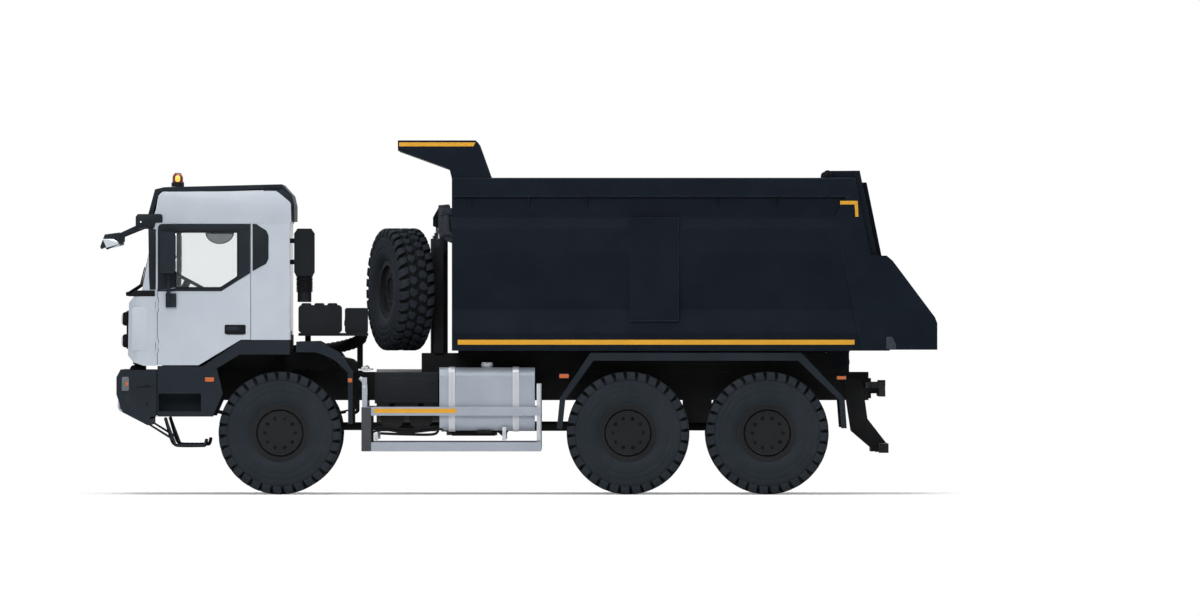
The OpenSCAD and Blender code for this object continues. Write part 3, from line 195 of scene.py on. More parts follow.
# finishes: base is the plain colour, second is what the mottle drifts to, grain is the bump's size in 1/m;
# the edge colour is lighter, part rubbed paint and part painted highlight
finishes = {
    "cab_paint": {"base": (182, 189, 198), "second": (174, 182, 192), "rough": 0.34,
                  "grain": 900, "bump": 0.02,
                  "coat": 0.10, "specular": 0.3, "wornAndHighlitEdge": (205, 210, 216), "dust": 0.03},
    "bed_paint": {"base": (12, 19, 28), "second": (16, 24, 33), "rough": 0.50, "specular": 0.06,
                  "grain": 500, "bump": 0.05,
                  "wornAndHighlitEdge": (58, 66, 76), "dust": 0.06},
    "frame_black": {"base": (22, 23, 25), "second": (30, 31, 33), "rough": 0.52, "grain": 350, "bump": 0.08,
                    "wornAndHighlitEdge": (60, 61, 63), "dust": 0.08},
    "trim_plastic": {"base": (31, 37, 43), "second": (36, 42, 49), "rough": 0.62,
                     "grain": 700, "bump": 0.16,
                     "wornAndHighlitEdge": (62, 68, 74), "dust": 0.03},
    "guard_plastic": {"base": (28, 34, 41), "second": (33, 40, 47), "rough": 0.58,
                      "grain": 620, "bump": 0.14,
                      "wornAndHighlitEdge": (60, 66, 73), "dust": 0.07},
    "box_plastic": {"base": (22, 25, 28), "second": (27, 30, 34), "rough": 0.60, "grain": 800, "bump": 0.16,
                    "wornAndHighlitEdge": (52, 56, 61), "dust": 0.05},
    "visor_plastic": {"base": (27, 32, 37), "second": (32, 38, 43), "rough": 0.42,
                      "grain": 500, "bump": 0.06,
                      "wornAndHighlitEdge": (70, 76, 82), "dust": 0.03},
    "dash_plastic": {"base": (38, 40, 43), "second": (48, 50, 53), "rough": 0.66,
                     "grain": 1100, "bump": 0.20,
                     "wornAndHighlitEdge": (64, 66, 70), "dust": 0.02},
    "lamp_plastic": {"base": (32, 34, 37), "second": (40, 42, 46), "rough": 0.40,
                     "grain": 600, "bump": 0.05,
                     "wornAndHighlitEdge": (66, 68, 72), "dust": 0.03},
    "tyre_rubber": {"base": (33, 39, 45), "second": (40, 45, 51), "rough": 0.74, "grain": 420, "bump": 0.22,
                    "wornAndHighlitEdge": (58, 62, 67), "dust": 0.07},
    "rim_steel": {"base": (27, 28, 30), "second": (33, 34, 36), "rough": 0.48, "grain": 520, "bump": 0.06,
                  "wornAndHighlitEdge": (74, 76, 79), "dust": 0.02},
    "engine_iron": {"base": (46, 48, 50), "second": (58, 58, 58), "rough": 0.62, "grain": 260, "bump": 0.25,
                    "wornAndHighlitEdge": (92, 92, 92), "dust": 0.09},
    "axle_iron": {"base": (24, 25, 27), "second": (33, 33, 34), "rough": 0.60, "grain": 240, "bump": 0.20,
                  "wornAndHighlitEdge": (70, 68, 66), "dust": 0.10},
    "tank_aluminium": {"base": (158, 165, 175), "second": (147, 155, 166), "rough": 0.42, "grain": 900,
                       "bump": 0.04, "metal": 0.25, "wornAndHighlitEdge": (196, 200, 206), "dust": 0.03},
    "rail_aluminium": {"base": (158, 164, 174), "second": (148, 154, 165), "rough": 0.40, "grain": 1400,
                       "bump": 0.05, "metal": 0.25, "wornAndHighlitEdge": (200, 203, 208), "dust": 0.04},
    "silencer_steel": {"base": (96, 98, 100), "second": (84, 82, 80), "rough": 0.44,
                       "grain": 500, "bump": 0.10,
                       "metal": 0.7, "wornAndHighlitEdge": (150, 148, 144), "dust": 0.07},
    "hoist_paint": {"base": (52, 57, 63), "second": (58, 63, 70), "rough": 0.45, "grain": 500, "bump": 0.05,
                    "wornAndHighlitEdge": (92, 97, 103), "dust": 0.04},
    "hoist_rod": {"base": (186, 189, 193), "second": (172, 175, 180), "rough": 0.16,
                  "grain": 1500, "bump": 0.01,
                  "metal": 0.95, "wornAndHighlitEdge": (214, 216, 220), "dust": 0.01},
    "seat_fabric": {"base": (52, 55, 60), "second": (61, 64, 70), "rough": 0.86, "grain": 900, "bump": 0.30,
                    "wornAndHighlitEdge": (74, 78, 84), "dust": 0.02},
    "strap_steel": {"base": (190, 193, 198), "second": (178, 182, 188), "rough": 0.34,
                    "grain": 1200, "bump": 0.03,
                    "metal": 0.35, "wornAndHighlitEdge": (214, 216, 220), "dust": 0.02},
    "post_steel": {"base": (62, 64, 68), "second": (70, 72, 76), "rough": 0.50, "grain": 600, "bump": 0.06,
                   "wornAndHighlitEdge": (98, 100, 104), "dust": 0.05},
    "nut_steel": {"base": (13, 13, 14), "second": (18, 18, 19), "rough": 0.38, "grain": 600, "bump": 0.05,
                  "metal": 0.5, "wornAndHighlitEdge": (80, 80, 80), "dust": 0.05},
    "bellows_rubber": {"base": (20, 21, 23), "second": (27, 28, 30), "rough": 0.70,
                       "grain": 700, "bump": 0.18,
                       "wornAndHighlitEdge": (42, 44, 46), "dust": 0.05},
    "step_tread": {"base": (26, 27, 30), "second": (34, 35, 38), "rough": 0.58, "grain": 480, "bump": 0.22,
                   "wornAndHighlitEdge": (74, 76, 79), "dust": 0.09},
    "mirror_face": {"base": (205, 212, 218), "second": (196, 204, 212), "rough": 0.06,
                    "grain": 1800, "bump": 0.004,
                    "metal": 0.9, "wornAndHighlitEdge": (220, 224, 228), "dust": 0.01},
    # darker rubber for the groove floors between the lugs: painted shade
    "tread_groove_shade": {"base": (19, 20, 22), "second": (25, 26, 28), "rough": 0.82, "grain": 380, "bump": 0.26,
                   "wornAndHighlitEdge": (34, 36, 38), "dust": 0.05},
    "cowl_black": {"base": (14, 16, 19), "second": (19, 21, 24), "rough": 0.55, "grain": 700, "bump": 0.10,
                   "wornAndHighlitEdge": (40, 43, 47), "dust": 0.02},
    "reflex_tape": {"base": (216, 158, 46), "second": (205, 148, 42), "rough": 0.38,
                    "grain": 260, "bump": 0.03,
                    "coat": 0.3, "wornAndHighlitEdge": (226, 176, 72), "dust": 0.02},
}


def linear(colour):
    parts = []
    for value in colour:
        share = value / 255.0
        parts.append(share / 12.92 if share <= 0.04045 else ((share + 0.055) / 1.055) ** 2.4)
    return (parts[0], parts[1], parts[2], 1.0)


def mixColours(tree, fac, first, second):
    mix = tree.nodes.new("ShaderNodeMix")
    mix.data_type = "RGBA"
    for socket, value in ((mix.inputs[0], fac), (mix.inputs[6], first), (mix.inputs[7], second)):
        if isinstance(value, (tuple, list, float, int)):
            socket.default_value = value
        else:
            tree.links.new(value, socket)
    return mix.outputs[2]


def noiseOf(tree, place, scale, detail=4.0, rough=0.55):
    noise = tree.nodes.new("ShaderNodeTexNoise")
    noise.inputs["Scale"].default_value = scale
    noise.inputs["Detail"].default_value = detail
    noise.inputs["Roughness"].default_value = rough
    tree.links.new(place, noise.inputs["Vector"])
    return noise.outputs["Fac"]


def spread(tree, value, low, high, toLow, toHigh):
    span = tree.nodes.new("ShaderNodeMapRange")
    span.inputs["From Min"].default_value = low
    span.inputs["From Max"].default_value = high
    span.inputs["To Min"].default_value = toLow
    span.inputs["To Max"].default_value = toHigh
    tree.links.new(value, span.inputs["Value"])
    return span.outputs["Result"]


def mathOf(tree, operation, first, second):
    node = tree.nodes.new("ShaderNodeMath")
    node.operation = operation
    for socket, value in ((node.inputs[0], first), (node.inputs[1], second)):
        if isinstance(value, (float, int)):
            socket.default_value = value
        else:
            tree.links.new(value, socket)
    return node.outputs[0]


def makeFinish(name, f):
    material = bpy.data.materials.new(name)
    material.use_nodes = True
    tree = material.node_tree
    shader = tree.nodes["Principled BSDF"]
    place = tree.nodes.new("ShaderNodeTexCoord").outputs["Object"]
    geometry = tree.nodes.new("ShaderNodeNewGeometry")
    # broad mottle over the colour
    mottle = spread(tree, noiseOf(tree, place, 2.3), 0.3, 0.7, 0.0, 1.0)
    colour = mixColours(tree, mottle, linear(f["base"]), linear(f["second"]))
    # edges turn lighter: paint rubbed thin there, and partly a painted highlight along the edges
    edge = tree.nodes.new("ShaderNodeBevel")
    edge.samples = 4
    edge.inputs["Radius"].default_value = f.get("edge", 0.006)
    turn = tree.nodes.new("ShaderNodeVectorMath")
    turn.operation = "DOT_PRODUCT"
    tree.links.new(edge.outputs["Normal"], turn.inputs[0])
    tree.links.new(geometry.outputs["Normal"], turn.inputs[1])
    edgeMask = spread(tree, turn.outputs["Value"], 0.995, 0.86, 0.0, 1.0)
    wearAndHighlight = mathOf(tree, "MULTIPLY", edgeMask, spread(tree, noiseOf(tree, place, 14.0), 0.40, 0.66, 0.15, 0.75))
    colour = mixColours(tree, wearAndHighlight, colour, linear(f["wornAndHighlitEdge"]))
    # dry dust that gathers low down and on ledges
    split = tree.nodes.new("ShaderNodeSeparateXYZ")
    tree.links.new(geometry.outputs["Normal"], split.inputs[0])
    ledge = spread(tree, split.outputs["Z"], 0.5, 1.0, 0.25, 1.0)
    height = tree.nodes.new("ShaderNodeSeparateXYZ")
    tree.links.new(place, height.inputs[0])
    low = spread(tree, height.outputs["Z"], 1.9, 0.3, 0.35, 1.0)
    patches = spread(tree, noiseOf(tree, place, 5.5, 6.0), 0.42, 0.72, 0.0, 1.0)
    dusty = mathOf(tree, "MULTIPLY", mathOf(tree, "MULTIPLY", ledge, low), patches)
    dusty = mathOf(tree, "MULTIPLY", dusty, f["dust"])
    colour = mixColours(tree, dusty, colour, linear((132, 126, 116)))
    tree.links.new(colour, shader.inputs["Base Color"])
    # gloss varies with the same dust and a finer noise
    fine = spread(tree, noiseOf(tree, place, 22.0), 0.3, 0.7, f["rough"] - 0.05, f["rough"] + 0.06)
    rougher = mathOf(tree, "ADD", fine, mathOf(tree, "MULTIPLY", dusty, 0.5))
    tree.links.new(rougher, shader.inputs["Roughness"])
    shader.inputs["Metallic"].default_value = f.get("metal", 0.0)
    shader.inputs["Coat Weight"].default_value = f.get("coat", 0.0)
    shader.inputs["Coat Roughness"].default_value = 0.25
    shader.inputs["Specular IOR Level"].default_value = f.get("specular", 0.08)
    bump = tree.nodes.new("ShaderNodeBump")
    bump.inputs["Strength"].default_value = f["bump"]
    bump.inputs["Distance"].default_value = 0.002
    tree.links.new(noiseOf(tree, place, f["grain"], 2.0), bump.inputs["Height"])
    tree.links.new(bump.outputs[0], shader.inputs["Normal"])
    return material


def makeGlass():
    glass = bpy.data.materials.new("window_glass")
    glass.use_nodes = True
    tree = glass.node_tree
    tree.nodes.clear()
    out = tree.nodes.new("ShaderNodeOutputMaterial")
    clear = tree.nodes.new("ShaderNodeBsdfTransparent")
    clear.inputs["Color"].default_value = (0.975, 0.985, 0.985, 1)
    gloss = tree.nodes.new("ShaderNodeBsdfPrincipled")
    place = tree.nodes.new("ShaderNodeTexCoord").outputs["Object"]
    haze = spread(tree, noiseOf(tree, place, 6.0), 0.35, 0.75, 0.03, 0.08)
    tint = mixColours(tree, haze, linear((196, 202, 204)), linear((214, 219, 221)))
    tree.links.new(tint, gloss.inputs["Base Color"])
    tree.links.new(haze, gloss.inputs["Roughness"])
    fresnel = tree.nodes.new("ShaderNodeFresnel")
    fresnel.inputs["IOR"].default_value = 1.45
    mix = tree.nodes.new("ShaderNodeMixShader")
    tree.links.new(spread(tree, fresnel.outputs[0], 0.0, 1.0, 0.03, 0.9), mix.inputs[0])
    tree.links.new(clear.outputs[0], mix.inputs[1])
    tree.links.new(gloss.outputs[0], mix.inputs[2])
    tree.links.new(mix.outputs[0], out.inputs["Surface"])
    return glass


def makeLens(name, core, rim, glow):
    # moulded lens: a brighter heart and a darker edge where it turns from view, the darker edge a painted
    # shade, with fine flutes
    lens = bpy.data.materials.new(name)
    lens.use_nodes = True
    tree = lens.node_tree
    shader = tree.nodes["Principled BSDF"]
    place = tree.nodes.new("ShaderNodeTexCoord").outputs["Object"]
    facingShade = tree.nodes.new("ShaderNodeLayerWeight")
    facingShade.inputs["Blend"].default_value = 0.35
    colour = mixColours(tree, facingShade.outputs["Facing"], linear(core), linear(rim))
    speck = spread(tree, noiseOf(tree, place, 60.0), 0.3, 0.7, 0.0, 0.25)
    colour = mixColours(tree, speck, colour, linear(rim))
    tree.links.new(colour, shader.inputs["Base Color"])
    tree.links.new(colour, shader.inputs["Emission Color"])
    shader.inputs["Emission Strength"].default_value = glow
    rough = spread(tree, noiseOf(tree, place, 30.0), 0.3, 0.7, 0.10, 0.20)
    tree.links.new(rough, shader.inputs["Roughness"])
    flutes = tree.nodes.new("ShaderNodeTexWave")
    flutes.inputs["Scale"].default_value = 90.0
    tree.links.new(place, flutes.inputs["Vector"])
    bump = tree.nodes.new("ShaderNodeBump")
    bump.inputs["Strength"].default_value = 0.25
    bump.inputs["Distance"].default_value = 0.001
    tree.links.new(flutes.outputs["Fac"], bump.inputs["Height"])
    tree.links.new(bump.outputs[0], shader.inputs["Normal"])
    return lens


finish = {}
for finishName, values in finishes.items():
    finish[finishName] = makeFinish(finishName, values)
finish["window_glass"] = makeGlass()
finish["amber_lens"] = makeLens("amber_lens", (188, 92, 28), (96, 44, 14), 0.06)
finish["red_lens"] = makeLens("red_lens", (176, 22, 18), (90, 12, 12), 0.08)
finish["smoked_lens"] = makeLens("smoked_lens", (92, 98, 104), (34, 37, 41), 0.0)
finish["clear_lens"] = makeLens("clear_lens", (232, 236, 240), (150, 158, 166), 0.10)
finish["beacon_amber"] = makeLens("beacon_amber", (132, 30, 16), (70, 14, 10), 0.10)
finish["beacon_glow"] = makeLens("beacon_glow", (255, 204, 84), (240, 160, 50), 0.6)

for row in frame["record"]["subparts"]:
    node = nodes[row["node"]]
    node.data.materials.clear()
    node.data.materials.append(finish[row["material_slot"]])
print("finishes made:", len(finish))


# mesh building, all in metres and in the truck's own frame
def addPrism(bm, outline, axis, low, high, bevel=0.0):
    # outline holds (x, z), (y, z) or (x, y) pairs for an axis of "y", "x" or "z"
    def at(pair, depth):
        if axis == "y":
            return (pair[0], depth, pair[1])
        if axis == "x":
            return (depth, pair[0], pair[1])
        return (pair[0], pair[1], depth)

    first = [bm.verts.new(at(pair, low)) for pair in outline]
    last = [bm.verts.new(at(pair, high)) for pair in outline]
    made = [bm.faces.new(first), bm.faces.new(list(reversed(last)))]
    for index in range(len(outline)):
        after = (index + 1) % len(outline)
        made.append(bm.faces.new((first[after], first[index], last[index], last[after])))
    bmesh.ops.recalc_face_normals(bm, faces=made)
    if bevel > 0:
        edges = list({edge for face in made for edge in face.edges})
        bmesh.ops.bevel(bm, geom=edges, offset=bevel, segments=2, profile=0.6, affect="EDGES")


def addSlab(bm, x, y, z, bevel=0.003):
    addPrism(bm, [(x[0], z[0]), (x[1], z[0]), (x[1], z[1]), (x[0], z[1])], "y", y[0], y[1], bevel)


def addRound(bm, outlineBox, radius, axis, low, high, bevel=0.002, steps=5):
    # rounded rectangle outline pulled along an axis
    (left, bottom), (right, top) = outlineBox
    outline = []
    for cx, cz, start in ((right - radius, top - radius, 0), (left + radius, top - radius, 90),
                          (left + radius, bottom + radius, 180), (right - radius, bottom + radius, 270)):
        for step in range(steps + 1):
            angle = math.radians(start + 90 * step / steps)
            outline.append((cx + radius * math.cos(angle), cz + radius * math.sin(angle)))
    addPrism(bm, outline, axis, low, high, bevel)


def addTube(bm, path, radius, sides=10, closed=True):
    # round bar swept along points, its rings turned with the path
    points = [Vector(p) for p in path]
    rings = []
    side = None
    for index, point in enumerate(points):
        ahead = points[min(index + 1, len(points) - 1)] - points[max(index - 1, 0)]
        ahead.normalize()
        if side is None:
            guide = Vector((0, 0, 1)) if abs(ahead.z) < 0.9 else Vector((1, 0, 0))
            side = ahead.cross(guide).normalized()
        side = (side - ahead * side.dot(ahead)).normalized()
        lift = ahead.cross(side)
        size = radius[index] if isinstance(radius, (list, tuple)) else radius
        rings.append([bm.verts.new(point + side * math.cos(t) * size + lift * math.sin(t) * size)
                      for t in [2 * math.pi * s / sides for s in range(sides)]])
    for before, after in zip(rings, rings[1:]):
        for s in range(sides):
            bm.faces.new((before[s], before[(s + 1) % sides], after[(s + 1) % sides], after[s]))
    if closed:
        bm.faces.new(list(reversed(rings[0])))
        bm.faces.new(rings[-1])


def smoothPath(points, steps=6):
    # Catmull-Rom points through the given ones
    out = []
    pts = [Vector(p) for p in points]
    for index in range(len(pts) - 1):
        a = pts[max(index - 1, 0)]
        b = pts[index]
        c = pts[index + 1]
        d = pts[min(index + 2, len(pts) - 1)]
        for step in range(steps):
            t = step / steps
            out.append(0.5 * (2 * b + (c - a) * t + (2 * a - 5 * b + 4 * c - d) * t * t
                              + (3 * b - a - 3 * c + d) * t ** 3))
    out.append(pts[-1])
    return out


def addLathe(bm, profile, centre, axis, steps=48):
    # profile holds (along, radius) pairs; a radius of 0 closes to a point
    centre = Vector(centre)
    along = Vector(axis).normalized()
    side = along.orthogonal().normalized()
    up = along.cross(side)
    rings = []
    for distance, radius in profile:
        if radius <= 0:
            rings.append([bm.verts.new(centre + along * distance)])
            continue
        middle = centre + along * distance
        rings.append([bm.verts.new(middle + (side * math.cos(t) + up * math.sin(t)) * radius)
                      for t in [2 * math.pi * s / steps for s in range(steps)]])
    for before, after in zip(rings, rings[1:]):
        for s in range(steps):
            n = (s + 1) % steps
            if len(before) == 1 and len(after) == 1:
                continue
            if len(before) == 1:
                bm.faces.new((before[0], after[n], after[s]))
            elif len(after) == 1:
                bm.faces.new((before[s], before[n], after[0]))
            else:
                bm.faces.new((before[s], before[n], after[n], after[s]))


def addHexBolt(bm, centre, axis, across=0.022, height=0.012):
    # washer, hexagon head and its chamfer
    washer = across * 0.62
    addLathe(bm, [(0, 0), (0, washer), (height * 0.2, washer), (height * 0.2, 0)], centre, axis, 14)
    start = Vector(centre) + Vector(axis).normalized() * height * 0.2
    half = across * 0.5
    addLathe(bm, [(0, 0), (0, half), (height * 0.7, half), (height * 0.8, half * 0.8), (height * 0.8, 0)],
             start, axis, 6)


def makePiece(name, bm, body, finishName, smooth=35.0, at=None):
    bmesh.ops.remove_doubles(bm, verts=bm.verts, dist=1e-6)
    bmesh.ops.recalc_face_normals(bm, faces=bm.faces)
    mesh = bpy.data.meshes.new(name)
    bm.to_mesh(mesh)
    bm.free()
    return placePiece(name, mesh, body, finishName, smooth, at)


def placePiece(name, mesh, body, finishName, smooth=35.0, at=None):
    piece = bpy.data.objects.new(name, mesh)
    bpy.context.scene.collection.objects.link(piece)
    if not mesh.materials:
        mesh.materials.append(finish[finishName])
    if smooth:
        mesh.shade_smooth()
        mesh.set_sharp_from_angle(angle=math.radians(smooth))
    if at is not None:
        piece.matrix_world = at
    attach(piece, body)
    return piece


def bothSides(build):
    # runs build(side, name) for the left (-1) and the right (+1)
    build(-1, "left")
    build(1, "right")

# tyres: carcass turned from one profile, tread blocks set in four rows round it
tyre = {
    "outer": 0.635, "base": 0.602, "shoulderLow": 0.548, "lugs": 32,
    "shoulderLug": 0.0415, "rows": (-0.054, 0.054), "blockLong": 0.047, "blockWide": 0.041,
}


def carcassProfile():
    right = [
        (0.000, 0.6050), (0.060, 0.6046), (0.100, 0.6010), (0.140, 0.5880), (0.160, 0.5740), (0.174, 0.5600),
        (0.1825, 0.545), (0.1875, 0.520), (0.1895, 0.494), (0.1880, 0.490), (0.1880, 0.484), (0.1895, 0.480),
        (0.1895, 0.455), (0.1885, 0.430), (0.1868, 0.4270), (0.1868, 0.4215), (0.1880, 0.4185),
        (0.1860, 0.395), (0.1815, 0.370), (0.1740, 0.345), (0.1640, 0.325), (0.1560, 0.314),
        (0.1500, 0.3095), (0.1480, 0.3045),
        (0.1450, 0.3000), (0.1380, 0.2700), (0.1340, 0.2640),
    ]
    left = [(-y, r) for y, r in reversed(right[1:])]
    return left + right


def addBlock(bm, outline, centreAngle, centreY, top, base, shrink=0.84):
    # a tread block: outline of (turn in metres at the top, across) pairs, drafted in towards its face
    rings = []
    for radius, grow in ((base - 0.006, 1.10), (top - 0.004, 1.0), (top, shrink)):
        ring = []
        for turn, across in outline:
            angle = centreAngle + turn * grow / tyre["outer"]
            spot = (radius * math.cos(angle), centreY + across * grow, radius * math.sin(angle))
            ring.append(bm.verts.new(spot))
        rings.append(ring)
    count = len(outline)
    for before, after in zip(rings, rings[1:]):
        for index in range(count):
            n = (index + 1) % count
            bm.faces.new((before[index], before[n], after[n], after[index]))
    middle = bm.verts.new((top * math.cos(centreAngle), centreY, top * math.sin(centreAngle)))
    for index in range(count):
        bm.faces.new((rings[2][index], rings[2][(index + 1) % count], middle))


def addShoulderLug(bm, angle, side):
    # one lug that wraps over the shoulder, drawn as a section (across, radius) and swept a little way round
    section = [(0.099, 0.604), (0.1035, 0.6325), (0.108, 0.635), (0.150, 0.635), (0.168, 0.631),
               (0.1795, 0.6205), (0.1865, 0.602), (0.1893, 0.580), (0.1893, 0.560), (0.186, 0.549),
               (0.168, 0.552)]
    half = tyre["shoulderLug"]
    rings = []
    for share, cut in ((-1.0, 0.006), (-0.88, 0.0), (0.0, 0.0), (0.88, 0.0), (1.0, 0.006)):
        ring = []
        for across, radius in section:
            wide = half * (0.80 + 0.20 * min(1.0, max(0.0, (across - 0.098) / 0.05)))
            turn = share * wide / radius
            drop = cut if radius > 0.606 else 0.0
            inward = cut * 0.6 if across > 0.12 else -cut * 0.3
            spot = angle + turn + side * 0.35 * (across - 0.15) / radius
            ring.append(bm.verts.new(((radius - drop) * math.cos(spot), side * (across - inward),
                                      (radius - drop) * math.sin(spot))))
        rings.append(ring)
    for before, after in zip(rings, rings[1:]):
        for index in range(len(section) - 1):
            bm.faces.new((before[index], before[index + 1], after[index + 1], after[index]))
    bm.faces.new(list(reversed(rings[0])))
    bm.faces.new(rings[-1])


def buildTyreMesh():
    bm = bmesh.new()
    addLathe(bm, carcassProfile(), (0, 0, 0), (0, 1, 0), 128)
    # inner face that rests on the rim
    addLathe(bm, [(-0.134, 0.264), (-0.10, 0.2625), (0.0, 0.2625), (0.10, 0.2625), (0.134, 0.264)],
             (0, 0, 0), (0, 1, 0), 128)
    pitch = 2 * math.pi / tyre["lugs"]
    long = tyre["blockLong"]
    wide = tyre["blockWide"]
    for index in range(tyre["lugs"]):
        for side in (-1, 1):
            addShoulderLug(bm, pitch * (index + (0.5 if side > 0 else 0.0)), side)
            # a five-sided block with a notch cut into its leading edge
            outline = [(-long, -wide * 0.30), (-long * 0.25, -wide), (long * 0.55, -wide * 0.86),
                       (long * 0.80, -wide * 0.16), (long * 0.52, 0.0), (long * 0.98, wide * 0.30),
                       (long * 0.40, wide), (-long * 0.50, wide * 0.80)]
            outline = [(turn, across * side) for turn, across in outline]
            if side > 0:
                outline = [(-turn, across) for turn, across in outline]
            centre = pitch * (index + (0.25 if side > 0 else 0.75))
            addBlock(bm, outline, centre, side * tyre["rows"][1], tyre["outer"], tyre["base"])
    bmesh.ops.remove_doubles(bm, verts=bm.verts, dist=1e-6)
    bmesh.ops.recalc_face_normals(bm, faces=bm.faces)
    mesh = bpy.data.meshes.new("tyreMesh")
    bm.to_mesh(mesh)
    bm.free()
    # the ground between the lugs gets a darker colour: painted shade in the grooves
    mesh.materials.append(finish["tyre_rubber"])
    mesh.materials.append(finish["tread_groove_shade"])
    for face in mesh.polygons:
        out = math.hypot(face.center.x, face.center.z)
        if tyre["shoulderLow"] < out < tyre["base"] + 0.004 and abs(face.center.y) < 0.1835:
            face.material_index = 1
    return mesh


tyreMesh = buildTyreMesh()


def middleOf(nodeName):
    low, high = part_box(nodeName)
    return (low + high) / 2


for axleName in ("front", "middle", "rear"):
    for sideName in ("left", "right"):
        nodeName = "tyre_" + axleName + "_" + sideName
        turn = random.Random(nodeName).uniform(0, 0.19)
        turnedMesh = tyreMesh.copy()
        turnedMesh.transform(Matrix.Rotation(turn, 4, "Y"))
        spot = Matrix.Translation(middleOf(nodeName))
        rubber = placePiece("tread_" + axleName + "_" + sideName, turnedMesh,
                            "wheel_" + axleName + "_" + sideName, "tyre_rubber", 30.0, spot)
        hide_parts(nodeName)

spareTurn = math.radians(108)
spareMesh = tyreMesh.copy()
spareMesh.transform(Matrix.Rotation(spareTurn, 4, "Z"))
spareSpot = Matrix.Translation(middleOf("spare_tyre"))
spareRubber = placePiece("tread_spare", spareMesh, "chassis", "tyre_rubber", 30.0, spareSpot)
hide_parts("spare_tyre")
print("tyres built")

# cab: trims, seals, mirrors, grille and lamps
cab = {
    "side": 1.250, "windowSeal": 0.009, "handleZ": 1.695,
    "bars": ((1.519, 1.659), (1.745, 1.888)), "barHalf": 0.90,
}
windowOutline = [(-3.549, 2.137), (-3.549, 2.724), (-2.904, 2.724), (-2.904, 2.252), (-3.081, 2.137)]


def buildDoorTrim(side, name):
    body = "door_" + name
    face = side * cab["side"]
    skin = sorted((face - side * 0.002, face + side * 0.004))
    bm = bmesh.new()
    # black band over the window, the pillar in front of it and the thick rail under it
    addPrism(bm, [(-3.732, 2.718), (-3.732, 2.760), (-3.716, 2.790), (-3.690, 2.798), (-2.776, 2.798),
                  (-2.776, 2.726), (-3.549, 2.726), (-3.555, 2.718)], "y", skin[0], skin[1], 0.0015)
    addPrism(bm, [(-3.732, 2.110), (-3.732, 2.718), (-3.555, 2.718), (-3.555, 2.140)], "y",
             skin[0], skin[1], 0.0015)
    addPrism(bm, [(-3.732, 2.100), (-3.732, 2.110), (-3.552, 2.134), (-3.084, 2.134), (-2.900, 2.252),
                  (-2.776, 2.330), (-2.776, 2.290), (-2.893, 2.216), (-3.074, 2.102), (-3.560, 2.102)],
             "y", skin[0], skin[1], 0.0015)
    # pillar behind the pane
    addPrism(bm, [(-2.904, 2.250), (-2.904, 2.726), (-2.776, 2.726), (-2.776, 2.328)], "y",
             skin[0], skin[1], 0.0015)
    makePiece("doorTrim_" + name, bm, body, "trim_plastic")
    # rubber seal round the pane
    bm = bmesh.new()
    loop = [(x, face + side * 0.001, z) for x, z in windowOutline]
    path = []
    for index, point in enumerate(loop):
        before = Vector(loop[index - 1])
        after = Vector(loop[(index + 1) % len(loop)])
        corner = Vector(point)
        for share in (0.045, 0.025, 0.012):
            path.append(corner + (before - corner).normalized() * share)
        path.append(corner + ((before - corner).normalized() + (after - corner).normalized()) * 0.005)
        for share in (0.012, 0.025, 0.045):
            path.append(corner + (after - corner).normalized() * share)
    path.append(path[0])
    addTube(bm, path, cab["windowSeal"], 8, False)
    makePiece("windowSeal_" + name, bm, body, "bellows_rubber")
    # dark patch standing for the handle's recess: painted shade of the hollow
    bm = bmesh.new()
    addRound(bm, ((-3.041, 1.659), (-2.822, 1.756)), 0.014, "y",
             *sorted((face - side * 0.002, face + side * 0.003)), 0.0012)
    makePiece("handleRecessShade_" + name, bm, body, "cowl_black")
    # pull handle across it
    bm = bmesh.new()
    low = cab["handleZ"] - 0.022
    addRound(bm, ((-3.030, low + 0.024), (-2.896, low + 0.064)), 0.018, "y", *sorted((face - side * 0.026,
                                                                              face + side * 0.004)), 0.004)
    makePiece("doorHandle_" + name, bm, body, "trim_plastic")
    # lock barrel
    bm = bmesh.new()
    addLathe(bm, [(-0.004, 0), (-0.004, 0.013), (0.003, 0.013), (0.004, 0.011), (0.002, 0.008), (0.002, 0)],
             (-2.858, face + side * 0.002, 1.693), (0, side, 0), 20)
    makePiece("doorLock_" + name, bm, body, "nut_steel")
    # wing mirror panes facing back
    bm = bmesh.new()
    low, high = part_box("door_" + name + "_mirror")
    inner, outer = sorted((side * 1.292, side * 1.478))
    back = high.x
    addRound(bm, ((inner, 2.462), (outer, 2.700)), 0.03, "x", back - 0.004, back + 0.004, 0.0015)
    addRound(bm, ((inner, 2.304), (outer, 2.446)), 0.03, "x", back - 0.004, back + 0.004, 0.0015)
    makePiece("mirrorPanes_" + name, bm, body, "mirror_face")


